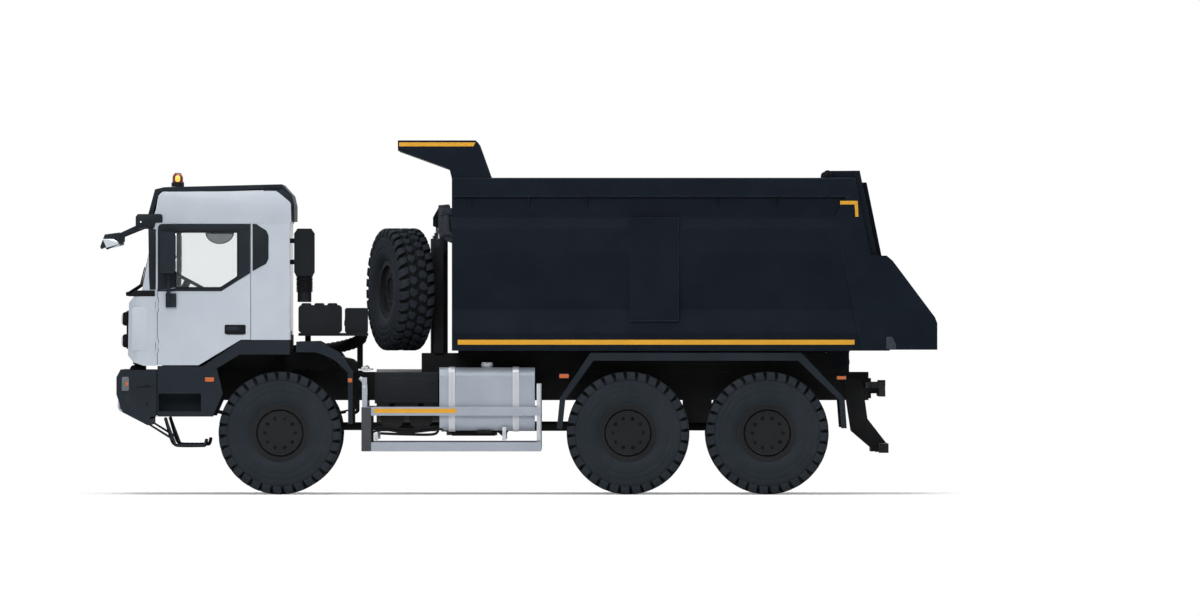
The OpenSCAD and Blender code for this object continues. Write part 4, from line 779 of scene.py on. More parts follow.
def buildCabSide(side, name):
    face = side * cab["side"]
    skin = sorted((face - side * 0.002, face + side * 0.005))
    bm = bmesh.new()
    # dark quarter panel behind the door and the pillar ahead of it
    addPrism(bm, [(-2.752, 2.800), (-2.713, 2.797), (-2.610, 2.730), (-2.586, 2.678), (-2.586, 2.439),
                  (-2.610, 2.387), (-2.752, 2.308)], "y", skin[0], skin[1], 0.002)
    addPrism(bm, [(-3.815, 2.118), (-3.822, 2.250), (-3.830, 2.745), (-3.752, 2.745), (-3.752, 2.118)],
             "y", skin[0], skin[1], 0.002)
    # ends of the sun visor that wrap round the corner
    outer = sorted((side * 1.08, side * 1.262))
    addPrism(bm, [(-3.961, 2.775), (-3.961, 2.872), (-3.938, 2.901), (-3.700, 2.901), (-3.682, 2.885),
                  (-3.682, 2.812), (-3.756, 2.808), (-3.766, 2.757), (-3.940, 2.755)], "y",
             outer[0], outer[1], 0.008)
    makePiece("cabSideTrim_" + name, bm, "cab", "visor_plastic")
    # marker lamp in the visor's end
    bm = bmesh.new()
    spot = sorted((side * 1.258, side * 1.268))
    addRound(bm, ((-3.916, 2.810), (-3.898, 2.828)), 0.008, "y", spot[0], spot[1], 0.002)
    makePiece("visorLamp_" + name, bm, "cab", "clear_lens")
    # raised pad on the corner panel
    bm = bmesh.new()
    addRound(bm, ((-4.000, 1.488), (-3.835, 1.940)), 0.030, "y", skin[0], skin[1] + 0.004, 0.004)
    makePiece("cornerPad_" + name, bm, "cab", "cab_paint")
    # side of the raised roof, one pale panel under the dark cap
    bm = bmesh.new()
    addPrism(bm, [(-3.773, 2.807), (-3.727, 3.085), (-3.700, 3.118), (-3.670, 3.131), (-2.510, 3.131),
                  (-2.482, 3.122), (-2.370, 3.028), (-2.356, 3.004), (-2.352, 2.830), (-2.366, 2.807)], "y",
             *sorted((side * 1.166, face + side * 0.003)), 0.004)
    makePiece("roofPanel_" + name, bm, "cab", "cab_paint")
    # dark filler between that panel and the cap's rear corner
    bm = bmesh.new()
    addPrism(bm, [(-2.640, 3.120), (-2.640, 3.150), (-2.440, 3.152), (-2.342, 3.062), (-2.342, 2.960),
                  (-2.420, 2.960)], "y", *sorted((side * 1.080, side * 1.240)), 0.004)
    makePiece("roofCorner_" + name, bm, "cab", "trim_plastic")
    # black cowl under the windscreen's corner
    bm = bmesh.new()
    addPrism(bm, [(-4.036, 2.049), (-3.760, 2.049), (-3.760, 2.111), (-3.968, 2.111)], "y",
             skin[0], skin[1], 0.003)
    makePiece("cowlEnd_" + name, bm, "cab", "cowl_black")


bothSides(buildDoorTrim)
bothSides(buildCabSide)


def buildFront():
    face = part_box("cab_front")[0].x
    # two thick bars with rounded noses, a pale strip set in each nose
    bm = bmesh.new()
    for low, high in cab["bars"]:
        addPrism(bm, [(face + 0.006, low), (face - 0.040, low), (face - 0.058, low + 0.010),
                      (face - 0.068, low + 0.030), (face - 0.068, high - 0.034), (face - 0.060, high - 0.014),
                      (face - 0.040, high), (face + 0.006, high)], "y",
                 -cab["barHalf"], cab["barHalf"], 0.006)
    makePiece("grilleBars", bm, "cab", "cowl_black")
    bm = bmesh.new()
    for low, high in cab["bars"]:
        addPrism(bm, [(face - 0.060, low + 0.020), (face - 0.073, low + 0.030), (face - 0.073, high - 0.034),
                      (face - 0.060, high - 0.024)], "y",
                 -cab["barHalf"] - 0.002, cab["barHalf"] + 0.002, 0.002)
    makePiece("grilleStrips", bm, "cab", "strap_steel")
    bm = bmesh.new()
    for step in range(15):
        y = -0.84 + 0.12 * step
        addSlab(bm, (face - 0.022, face + 0.004), (y - 0.006, y + 0.006), (1.505, 1.900), 0.002)
    makePiece("grilleRibs", bm, "cab", "trim_plastic")
    # mesh panel behind the slats
    bm = bmesh.new()
    addRound(bm, ((-0.90, 1.500), (0.90, 1.905)), 0.03, "x", face - 0.006, face + 0.002, 0.002)
    makePiece("grillePanel", bm, "cab", "visor_plastic")
    # wipers
    bm = bmesh.new()
    glassLow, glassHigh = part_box("windscreen")
    lean = (glassHigh.x - glassLow.x) / (glassHigh.z - glassLow.z) * 0.92

    def onGlass(y, z, out=0.03):
        return (glassLow.x + (z - glassLow.z) * lean - out, y, z)

    for pivot, tip in ((-0.78, -0.18), (-0.06, 0.56), (0.66, 1.02)):
        addLathe(bm, [(0, 0.022), (0.02, 0.022), (0.026, 0.016), (0.026, 0)],
                 (face - 0.004, pivot, 2.075), (-1, 0, 0), 16)
        addTube(bm, [(face - 0.02, pivot, 2.075), onGlass(pivot + 0.12, 2.17, 0.035),
                     onGlass(tip, 2.35, 0.035)],
                [0.011, 0.009, 0.006], 8)
        addTube(bm, [onGlass(tip - 0.27, 2.24, 0.018), onGlass(tip, 2.35, 0.020),
                     onGlass(tip + 0.25, 2.45, 0.018)],
                0.007, 6)
    makePiece("wipers", bm, "cab", "nut_steel")


buildFront()


def buildBeacon():
    x, y, base = -3.532, -0.900, 3.2035
    bm = bmesh.new()
    addLathe(bm, [(0, 0.0), (0, 0.062), (0.018, 0.066), (0.024, 0.062), (0.028, 0.056), (0.028, 0)],
             (x, y, base - 0.014), (0, 0, 1), 32)
    for step in range(3):
        across, along = math.cos(step * 2.1), math.sin(step * 2.1)
        addTube(bm, [(x + 0.058 * across, y + 0.058 * along, base + 0.012),
                     (x + 0.054 * across, y + 0.054 * along, base + 0.030)], 0.006, 8)
    makePiece("beaconBase", bm, "cab", "bellows_rubber")
    bm = bmesh.new()
    dome = [(0.0, 0.0555), (0.03, 0.0560), (0.07, 0.0545), (0.095, 0.049), (0.110, 0.038),
            (0.1175, 0.020), (0.120, 0)]
    addLathe(bm, dome, (x, y, base + 0.006), (0, 0, 1), 40)
    for ring in (0.022, 0.044, 0.066):
        addLathe(bm, [(ring - 0.003, 0.0545), (ring, 0.0580), (ring + 0.003, 0.0545)],
                 (x, y, base + 0.006), (0, 0, 1), 40)
    makePiece("beaconDome", bm, "cab", "beacon_amber")
    bm = bmesh.new()
    addRound(bm, ((x - 0.026, base + 0.030), (x + 0.026, base + 0.098)), 0.024, "y",
             y - 0.0595, y - 0.050, 0.002)
    makePiece("beaconLamp", bm, "cab", "beacon_glow")


buildBeacon()
print("cab trimmed")

# wheels: nuts in the hub's pockets, valve and rim lips
wheel = {"nuts": 10, "circle": 0.158, "pocketFloor": 0.112}


def buildWheelDetail(axleName, sideName):
    side = -1 if sideName == "left" else 1
    centre = middleOf("tyre_" + axleName + "_" + sideName)
    out = Vector((0, side, 0))
    bm = bmesh.new()
    for index in range(wheel["nuts"]):
        angle = math.radians(36 * index)
        spot = centre + Vector((wheel["circle"] * math.cos(angle), 0, wheel["circle"] * math.sin(angle)))
        spot += out * (wheel["pocketFloor"] + 0.0005)
        addHexBolt(bm, spot, out, 0.026, 0.018)
    makePiece("wheelNuts_" + axleName + "_" + sideName, bm, "wheel_" + axleName + "_" + sideName,
              "nut_steel")
    bm = bmesh.new()
    # rolled lip of the rim, lip of the hub cover and the valve
    addLathe(bm, [(0.133, 0.2995), (0.139, 0.3015), (0.145, 0.2995), (0.147, 0.2945), (0.144, 0.2895),
                  (0.136, 0.2865), (0.133, 0.2890), (0.133, 0.2995)], centre, out, 96)
    addLathe(bm, [(0.1365, 0.2200), (0.1410, 0.2215), (0.1410, 0.2260), (0.1365, 0.2285), (0.1340, 0.2285),
                  (0.1340, 0.2200), (0.1365, 0.2200)], centre, out, 96)
    addLathe(bm, [(0.1115, 0.2470), (0.1160, 0.2490), (0.1180, 0.2530), (0.1160, 0.2570), (0.1115, 0.2590)],
             centre, out, 96)
    valve = centre + Vector((0.0, 0, 0.200)) + out * 0.1375
    addLathe(bm, [(-0.002, 0), (-0.002, 0.009), (0.003, 0.008), (0.005, 0.005), (0.012, 0.0045), (0.012, 0)],
             valve, out, 14)
    # thin black rings laid flat in the rim's grooves: painted shade in the grooves
    ring = bmesh.new()
    addLathe(ring, [(0.1118, 0.2295), (0.1130, 0.2305), (0.1130, 0.2455), (0.1118, 0.2465)], centre, out, 96)
    addLathe(ring, [(0.1118, 0.2600), (0.1130, 0.2610), (0.1130, 0.2800), (0.1118, 0.2810)], centre, out, 96)
    makePiece("rimGrooveShade_" + axleName + "_" + sideName, ring, "wheel_" + axleName + "_" + sideName,
              "cowl_black")
    makePiece("rimLips_" + axleName + "_" + sideName, bm, "wheel_" + axleName + "_" + sideName, "rim_steel")


for axleName in ("front", "middle", "rear"):
    for sideName in ("left", "right"):
        buildWheelDetail(axleName, sideName)

# chassis equipment
tank = {"strapX": (-0.692, -0.030), "strapHalf": 0.033, "capX": -0.329, "tall": 0.657}


def buildTankDetail():
    low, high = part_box("fuel_tank")
    high.z = low.z + tank["tall"]  # the neck stands above the tank
    bm = bmesh.new()
    for x in tank["strapX"]:
        half = tank["strapHalf"]
        out = 0.006
        # a strap wraps the tank's outer face, top and bottom with rounded corners
        loop = []
        for cy, cz, start in ((low.y + 0.05, high.z - 0.05, 90), (low.y + 0.05, low.z + 0.05, 180)):
            for step in range(7):
                angle = math.radians(start + 90 * step / 6)
                loop.append((cy + (0.05 + out) * math.cos(angle), cz + (0.05 + out) * math.sin(angle)))
        loop = [(high.y - 0.04, high.z + out)] + loop + [(high.y - 0.04, low.z - out)]
        inner = []
        for y, z in loop:
            inner.append((min(max(y, low.y + 0.001), high.y), min(max(z, low.z + 0.001), high.z - 0.001)))
        first = [bm.verts.new((x - half, y, z)) for y, z in loop]
        second = [bm.verts.new((x + half, y, z)) for y, z in loop]
        third = [bm.verts.new((x + half, y, z)) for y, z in inner]
        fourth = [bm.verts.new((x - half, y, z)) for y, z in inner]
        for index in range(len(loop) - 1):
            for a, b in ((first, second), (second, third), (fourth, first)):
                bm.faces.new((a[index], b[index], b[index + 1], a[index + 1]))
        for offset in (-0.014, 0.014):
            addHexBolt(bm, (x + offset, low.y - 0.004, low.z + 0.030), (0, -1, 0), 0.015, 0.014)
        addTube(bm, [(x, low.y - 0.007, low.z + 0.05), (x, low.y - 0.007, high.z - 0.05)], 0.004, 8)
    makePiece("tankStraps", bm, "chassis", "strap_steel")
    bm = bmesh.new()
    for x in tank["strapX"]:
        addSlab(bm, (x - 0.036, x + 0.036), (low.y + 0.06, high.y - 0.04), (high.z + 0.006, high.z + 0.012))
    # sender plate, drain plug and the bracket under the tank
    spot = ((low.x + high.x) / 2 + 0.16, (low.y + high.y) / 2 - 0.04)
    addLathe(bm, [(0, 0), (0, 0.058), (0.012, 0.058), (0.016, 0.05), (0.05, 0.012), (0.052, 0)],
             (spot[0], spot[1], low.z - 0.001), (0, 0, -1), 28)
    addSlab(bm, (spot[0] - 0.26, spot[0] - 0.12), (low.y + 0.04, low.y + 0.22), (low.z - 0.022, low.z), 0.004)
    makePiece("tankFittings", bm, "chassis", "frame_black")
    bm = bmesh.new()
    cap = (tank["capX"], low.y + 0.16, high.z - 0.004)
    addLathe(bm, [(0, 0), (0, 0.052), (0.012, 0.056), (0.022, 0.062), (0.040, 0.064), (0.046, 0.060),
                  (0.048, 0.02), (0.048, 0)], cap, (0, 0, 1), 36)
    addSlab(bm, (cap[0] - 0.05, cap[0] + 0.05), (cap[1] - 0.008, cap[1] + 0.008),
            (cap[2] + 0.044, cap[2] + 0.056))
    makePiece("tankCap", bm, "chassis", "strap_steel")


def buildGuardDetail():
    low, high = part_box("side_guards")
    for side, name in ((-1, "left"), (1, "right")):
        face = side * max(abs(low.y), abs(high.y))
        skin = sorted((face - side * 0.001, face + side * 0.002))
        bm = bmesh.new()
        addPrism(bm, [(-1.496, 0.844), (-0.645, 0.844), (-0.645, 0.888), (-1.496, 0.888)], "y",
                 skin[0], skin[1])
        makePiece("guardTape_" + name, bm, "chassis", "reflex_tape")
        bm = bmesh.new()
        out = sorted((face - side * 0.045, face + side * 0.004))
        addSlab(bm, (-1.627, -1.527), out, (0.448, 0.903), 0.003)
        for z in (0.466, 0.885):
            for x in (-1.606, -1.548):
                addHexBolt(bm, (x, face + side * 0.004, z), (0, side, 0), 0.010, 0.006)
        makePiece("guardPost_" + name, bm, "chassis", "post_steel")
        # pierced struts that carry the rails
        bm = bmesh.new()
        inner = sorted((face - side * 0.060, face - side * 0.022))
        for x, bottom, top in ((-1.475, 0.560, 0.640), (-0.150, 0.560, 0.700), (0.205, 0.560, 1.140)):
            addSlab(bm, (x - 0.019, x + 0.019), inner, (bottom, top), 0.002)
            z = bottom + 0.03
            while z < top - 0.02:
                addRound(bm, ((x - 0.008, z), (x + 0.008, z + 0.026)), 0.007, "y",
                         *sorted((face - side * 0.0225, face - side * 0.0190)), 0.0)
                z += 0.048
        makePiece("guardStruts_" + name, bm, "chassis", "strap_steel")
        bm = bmesh.new()
        addTube(bm, smoothPath([(-1.590, face - side * 0.05, 0.900), (-1.585, face - side * 0.06, 1.090),
                                (-1.600, face - side * 0.07, 1.160), (-1.640, face - side * 0.09, 1.205)], 4),
                0.022, 10)
        addHexBolt(bm, (-1.598, face - side * 0.045, 1.115), (0, side, 0), 0.030, 0.02)
        addTube(bm, [(-1.660, face - side * 0.09, 1.290), (-1.530, face - side * 0.09, 1.290)], 0.010, 8)
        addLathe(bm, [(-0.02, 0.012), (-0.02, 0.030), (0.02, 0.030), (0.02, 0.012), (-0.02, 0.012)],
                 (-1.598, face - side * 0.09, 1.300), (0, 1, 0), 20)
        makePiece("guardClamp_" + name, bm, "chassis", "strap_steel")


def buildBatteryDetail():
    low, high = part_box("battery_box")
    bm = bmesh.new()
    # pressed lid with a soft edge, its latch and the crossing stiffener
    addRound(bm, ((low.x + 0.012, low.z + 0.055), (high.x - 0.012, high.z - 0.012)), 0.03, "y",
             low.y - 0.008, low.y + 0.002, 0.004)
    addPrism(bm, [(low.x + 0.05, low.z + 0.085), (high.x - 0.02, low.z + 0.085),
                  (high.x - 0.06, high.z - 0.10), (high.x - 0.10, high.z - 0.06),
                  (low.x + 0.05, high.z - 0.06)], "y", low.y - 0.011, low.y - 0.006, 0.002)
    makePiece("batteryLid", bm, "chassis", "box_plastic")
    bm = bmesh.new()
    addLathe(bm, [(0, 0), (0, 0.019), (0.006, 0.019), (0.010, 0.014), (0.008, 0.008), (0.008, 0)],
             (-0.893, low.y - 0.010, 1.143), (0, -1, 0), 24)
    for x in (low.x + 0.28, low.x + 0.34):
        addHexBolt(bm, (x, low.y - 0.004, low.z + 0.030), (0, -1, 0), 0.011, 0.008)
    makePiece("batteryLatch", bm, "chassis", "nut_steel")


def buildAirDetail():
    low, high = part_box("air_tanks")
    bm = bmesh.new()
    # pipes looped under the air tanks
    yFront = low.y - 0.012
    for drop in (0.0, 0.030):
        z = low.z - drop
        addTube(bm, smoothPath([(low.x - 0.14, yFront, z - 0.020), (low.x + 0.02, yFront, z + 0.045),
                                (low.x + 0.30, yFront, z + 0.020), (high.x + 0.02, yFront, z + 0.050),
                                (high.x + 0.10, yFront + 0.05, z + 0.060)], 8), 0.011, 8)
    addTube(bm, smoothPath([(low.x + 0.02, yFront, low.z - 0.020), (low.x + 0.30, yFront, low.z - 0.030),
                            (high.x - 0.02, yFront, low.z - 0.028),
                            (high.x + 0.03, yFront + 0.02, low.z + 0.03)], 8),
            0.014, 8)
    makePiece("airPipes", bm, "chassis", "bellows_rubber")


buildTankDetail()
buildGuardDetail()
buildBatteryDetail()
buildAirDetail()
print("wheels and chassis equipment detailed")

# bed: tapes, pressings, hinges, gate locks and the hoist bracket
bed = {"side": 1.275, "tapeLow": 1.550, "tapeHigh": 1.600}


def buildBedSide(side, name):
    face = side * bed["side"]
    # the tape follows the fold it is stuck on
    tapeFace = side * 1.2455
    skin = sorted((tapeFace, tapeFace + side * 0.0035))
    bm = bmesh.new()
    addPrism(bm, [(-0.631, bed["tapeLow"]), (3.470, bed["tapeLow"]), (3.470, bed["tapeHigh"]),
                  (-0.631, bed["tapeHigh"])], "y", skin[0], skin[1])
    makePiece("bedTape_" + name, bm, "bed", "reflex_tape")
    bm = bmesh.new()
    upper = sorted((face, face + side * 0.002))
    addPrism(bm, [(3.322, 2.999), (3.322, 3.037), (3.503, 3.037), (3.512, 2.874), (3.480, 2.870),
                  (3.472, 2.999)], "y", upper[0], upper[1])
    makePiece("bedTapeCorner_" + name, bm, "bed", "reflex_tape")
    # canopy tape
    canopyLow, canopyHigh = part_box("bed_headboard")
    bm = bmesh.new()
    outer = side * min(abs(canopyLow.y), abs(canopyHigh.y))
    edge = sorted((outer, outer + side * 0.0025))
    addPrism(bm, [(-1.236, 3.600), (-0.470, 3.600), (-0.447, 3.641), (-1.236, 3.641)], "y", edge[0], edge[1])
    makePiece("canopyTape_" + name, bm, "bed", "reflex_tape")
    # rolled top rail, weld beads along the folds and the pillar edges
    bm = bmesh.new()
    railY = side * (bed["side"] - 0.020)
    addTube(bm, [(-0.680, railY, 3.262), (3.465, railY, 3.262)], 0.0135, 12)
    bead = side * (bed["side"] - 0.0015)
    for x in (1.151, 1.653):
        addTube(bm, [(x, bead, 1.800), (x, bead, 2.860)], 0.0045, 6)
    addTube(bm, [(1.151, bead, 1.796), (1.653, bead, 1.796)], 0.0045, 6)
    addTube(bm, [(-0.680, bead, 3.083), (3.440, bead, 3.083)], 0.0045, 6)
    makePiece("bedBeads_" + name, bm, "bed", "bed_paint")
    # gussets under the top rail and small drain plates at the sill
    bm = bmesh.new()
    for x in (-0.50, 0.10, 0.70, 2.05, 2.65):
        addPrism(bm, [(x - 0.004, 3.080), (x - 0.004, 2.990), (x + 0.004, 2.990), (x + 0.004, 3.080)], "y",
                 *sorted((face - side * 0.050, face - side * 0.006)), 0.001)
    for x in (0.20, 1.35, 2.55):
        addRound(bm, ((x - 0.11, 1.496), (x + 0.11, 1.528)), 0.012, "y",
                 *sorted((side * 1.2445, side * 1.2505)), 0.002)
    makePiece("bedGussets_" + name, bm, "bed", "bed_paint")


def buildTailgateDetail():
    # pin caps at the top and the lock hooks at the sill
    for side, name in ((-1, "left"), (1, "right")):
        bm = bmesh.new()
        for y in (1.193, 1.237):
            addLathe(bm, [(0, 0), (0, 0.030), (0.006, 0.030), (0.009, 0.024), (0.009, 0)],
                     (3.194, side * y, 3.309), (0, side, 0), 24)
        makePiece("gatePins_" + name, bm, "bed", "nut_steel")
        bm = bmesh.new()
        for x, z in ((3.83, 1.60), (3.86, 1.54)):
            addLathe(bm, [(0, 0), (0, 0.022), (0.012, 0.022), (0.016, 0.017), (0.016, 0)],
                     (x, side * 1.2755, z), (0, side, 0), 20)
        addPrism(bm, [(3.80, 1.505), (3.90, 1.505), (3.90, 1.55), (3.86, 1.63), (3.80, 1.63)], "y",
                 *sorted((side * 1.2745, side * 1.2805)), 0.003)
        makePiece("gateLock_" + name, bm, "bed", "hoist_paint")


def buildHoistBracket():
    # head bracket, its plates and bolts on the front wall
    bm = bmesh.new()
    x0 = -0.692
    for y in (-0.56, 0.52):
        addPrism(bm, [(x0 - 0.145, 2.700), (x0 - 0.145, 2.995), (x0 - 0.035, 3.005), (x0, 2.850), (x0, 2.600),
                      (x0 - 0.055, 2.620)], "y", y, y + 0.02, 0.003)
    addSlab(bm, (x0 - 0.125, x0), (-0.60, 0.60), (2.895, 2.965), 0.006)
    for y in (-0.50, -0.38, 0.38, 0.50):
        for z in (2.912, 2.948):
            addHexBolt(bm, (x0 - 0.125, y, z), (-1, 0, 0), 0.018, 0.012)
    addPrism(bm, [(x0 - 0.132, 2.700), (x0 - 0.112, 2.660), (x0 - 0.085, 2.690), (x0 - 0.030, 2.690),
                  (x0 - 0.004, 2.660), (x0, 2.700), (x0 - 0.030, 2.730), (x0 - 0.040, 2.890),
                  (x0 - 0.085, 2.890), (x0 - 0.095, 2.730)], "y", -0.625, -0.605, 0.003)
    for x, z in ((x0 - 0.108, 2.705), (x0 - 0.022, 2.705), (x0 - 0.095, 2.930), (x0 - 0.030, 2.930)):
        addHexBolt(bm, (x, -0.626, z), (0, -1, 0), 0.016, 0.01)
    makePiece("hoistBracket", bm, "bed", "hoist_paint")


bothSides(buildBedSide)
buildTailgateDetail()
buildHoistBracket()
print("bed detailed")

# amber markers, plugs, fog lamps and the small fittings round the bumper
marks = {"rise": 0.008, "amber": [
    ("markerArch", "cab", (-3.243, 1.167), (-3.150, 1.211), 1.2445),
    ("markerFlap", "chassis", (-1.765, 1.160), (-1.722, 1.201), 1.2345),
    ("markerPlate", "chassis", (0.421, 1.205), (0.516, 1.245), 1.2345),
    ("markerRear", "chassis", (3.290, 1.191), (3.383, 1.222), 1.2345),
]}


def addSideBox(bm, low, high, y, side, rise, radius=0.006):
    addRound(bm, (low, high), radius, "y", *sorted((side * (y - 0.004), side * (y + rise))), 0.002)


def buildMarkers(side, name):
    for marker, body, low, high, y in marks["amber"]:
        bm = bmesh.new()
        addSideBox(bm, low, high, y, side, marks["rise"])
        makePiece(marker + "_" + name, bm, body, "amber_lens")
        bm = bmesh.new()
        addSideBox(bm, (low[0] - 0.006, low[1] - 0.006), (high[0] + 0.006, high[1] + 0.006), y, side, 0.003)
        makePiece(marker + "Frame_" + name, bm, body, "lamp_plastic")


def buildBumperFittings(side, name):
    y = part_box("front_bumper")[1].y
    bm = bmesh.new()
    for z in (1.128, 0.941):
        addLathe(bm, [(-0.002, 0), (-0.002, 0.012), (0.003, 0.012), (0.004, 0.009), (0.001, 0.006),
                      (0.001, 0)],
                 (-3.840, side * y, z), (0, side, 0), 20)
    makePiece("bumperPlugs_" + name, bm, "chassis", "cowl_black")
    bm = bmesh.new()
    addSideBox(bm, (-4.104, 1.072), (-4.030, 1.216), y, side, 0.004, 0.014)
    makePiece("cornerLamp_" + name, bm, "chassis", "smoked_lens")
    bm = bmesh.new()
    addSideBox(bm, (-4.062, 1.122), (-4.038, 1.166), y, side, 0.007, 0.008)
    makePiece("cornerBlinker_" + name, bm, "chassis", "amber_lens")
    bm = bmesh.new()
    addSideBox(bm, (-4.072, 0.914), (-4.010, 1.031), y, side, 0.004, 0.016)
    makePiece("fogLamp_" + name, bm, "chassis", "lamp_plastic")
    # dark strip along the skirt: painted shade of a pressed crease
    bm = bmesh.new()
    addPrism(bm, [(-3.960, 1.112), (-3.880, 1.122), (-3.770, 1.122), (-3.770, 1.116), (-3.960, 1.106)], "y",
             *sorted((side * (y - 0.002), side * (y + 0.002))))
    makePiece("bumperCreaseShade_" + name, bm, "chassis", "cowl_black")


bothSides(buildMarkers)
bothSides(buildBumperFittings)


def buildBumperGuard():
    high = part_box("front_bumper")[1]
    bm = bmesh.new()
    for side in (-1, 1):
        path = [(-4.120, side * 1.12, 1.036), (-4.131, side * 1.12, 0.895), (-4.060, side * 1.12, 0.850),
                (-3.991, side * 1.12, 0.833)]
        addTube(bm, smoothPath(path, 5), 0.016, 10)
    addTube(bm, [(-4.131, -1.12, 0.900), (-4.131, 1.12, 0.900)], 0.016, 10)
    makePiece("bumperGuard", bm, "chassis", "strap_steel")
    # ribbed tread of the step in the bumper's top
    bm = bmesh.new()
    for step in range(9):
        y = -0.80 + 0.20 * step
        addSlab(bm, (-4.130, -4.040), (y - 0.085, y + 0.085), (high.z - 0.004, high.z + 0.004), 0.003)
    makePiece("bumperTread", bm, "chassis", "step_tread")
    # head lamps set in the bumper's pockets: bowl, rim and fluted cover
    for side, name in ((-1, "left"), (1, "right")):
        bm = bmesh.new()
        for y in (0.86, 1.04):
            addLathe(bm, [(0, 0.0), (0.002, 0.070), (0.012, 0.074), (0.020, 0.070), (0.020, 0.0)],
                     (-4.106, side * y, 1.108), (-1, 0, 0), 36)
        makePiece("headLamps_" + name, bm, "chassis", "clear_lens")
        bm = bmesh.new()
        for y in (0.86, 1.04):
            addLathe(bm, [(0, 0.074), (0, 0.084), (0.014, 0.084), (0.020, 0.080), (0.014, 0.074), (0, 0.074)],
                     (-4.112, side * y, 1.108), (-1, 0, 0), 36)
        makePiece("headLampRims_" + name, bm, "chassis", "strap_steel")


buildBumperGuard()


def buildSnorkelBellows():
    low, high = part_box("air_snorkel")
    centreX = -2.2175
    halfX = (high.x - low.x) / 2 - 0.048
    halfY = (high.y - low.y) / 2 - 0.030
    middleY = (low.y + high.y) / 2
    bm = bmesh.new()
    rings = []
    for step in range(19):
        grow = 0.012 if step % 2 else -0.004
        z = 2.093 + 0.175 * step / 18
        ring = []
        for part in range(28):
            t = 2 * math.pi * part / 28
            # squared ring
            power = 0.55
            x = math.copysign(abs(math.cos(t)) ** power, math.cos(t)) * (halfX + grow)
            y = math.copysign(abs(math.sin(t)) ** power, math.sin(t)) * (halfY + grow)
            ring.append(bm.verts.new((centreX + x, middleY + y, z)))
        rings.append(ring)
    for before, after in zip(rings, rings[1:]):
        for part in range(28):
            n = (part + 1) % 28
            bm.faces.new((before[part], before[n], after[n], after[part]))
    bm.faces.new(rings[0])
    bm.faces.new(rings[-1])
    makePiece("snorkelBellows", bm, "cab",
              "bellows_rubber", 60.0)


buildSnorkelBellows()
print("markers and front fittings placed")

# stirrups, mirrors' glass, wheelhouse liners and the cab's rear mount
stirrup = {"tube": 0.0165, "y": 1.185, "path": [
    (-3.655, 0.790), (-3.640, 0.740), (-3.590, 0.568), (-3.560, 0.522),
    (-3.505, 0.506), (-3.290, 0.506), (-3.243, 0.514), (-3.228, 0.576)]}


def buildStirrup(side, name):
    bm = bmesh.new()
    for y in (stirrup["y"], stirrup["y"] - 0.11):
        addTube(bm, smoothPath([(x, side * y, z) for x, z in stirrup["path"]], 5), stirrup["tube"], 12)
    for step in range(5):
        x = -3.470 + 0.045 * step
        addTube(bm, [(x, side * (stirrup["y"] - 0.11), 0.516), (x, side * stirrup["y"], 0.516)], 0.008, 8)
    makePiece("stirrupTube_" + name, bm, "chassis", "cowl_black")
    # glass of the kerb mirror in its dark case
    bm = bmesh.new()
    addPrism(bm, [(-4.302, 2.642), (-4.190, 2.640), (-4.140, 2.612), (-4.136, 2.588), (-4.262, 2.552)],
             "y", *sorted((side * 1.239, side * 1.245)), 0.002)
    makePiece("kerbGlass_" + name, bm, "cab", "mirror_face")
    # liner over the front tyre, clear of its steering circle
    bm = bmesh.new()
    addPrism(bm, [(-2.420, 1.300), (-1.930, 1.300), (-1.930, 1.330), (-2.020, 1.440), (-2.130, 1.476),
                  (-2.420, 1.476)], "y", *sorted((side * 0.800, side * 0.806)), 0.002)
    for x in (-2.330, -2.200, -2.070):
        addPrism(bm, [(x, 1.300), (x + 0.024, 1.300), (x + 0.024, 1.440), (x, 1.440)], "y",
                 *sorted((side * 0.804, side * 0.816)), 0.002)
    makePiece("wheelLiner_" + name, bm, "chassis", "bellows_rubber")


bothSides(buildStirrup)


def buildWindowMirror():
    # half-disc mirror that hangs over the right door's window
    bm = bmesh.new()
    rim = []
    face = []
    for step in range(13):
        t = math.pi + math.pi * step / 12
        rim.append((-3.140 + 0.150 * math.cos(t), 2.716 + 0.118 * math.sin(t)))
        face.append((-3.140 + 0.136 * math.cos(t), 2.704 + 0.096 * math.sin(t)))
    addPrism(bm, rim, "y", 1.300, 1.322, 0.004)
    addTube(bm, [(-3.140, 1.258, 2.760), (-3.140, 1.290, 2.760), (-3.140, 1.311, 2.716)], 0.011, 10)
    makePiece("windowMirrorCase", bm, "door_right", "cowl_black")
    # the glass takes the pale glowing clear lens finish: a painted reflection, though it is no lamp
    bm = bmesh.new()
    addPrism(bm, face, "y", 1.297, 1.301, 0.001)
    makePiece("windowMirrorGlassPaintedGlow", bm, "door_right", "clear_lens")


buildWindowMirror()


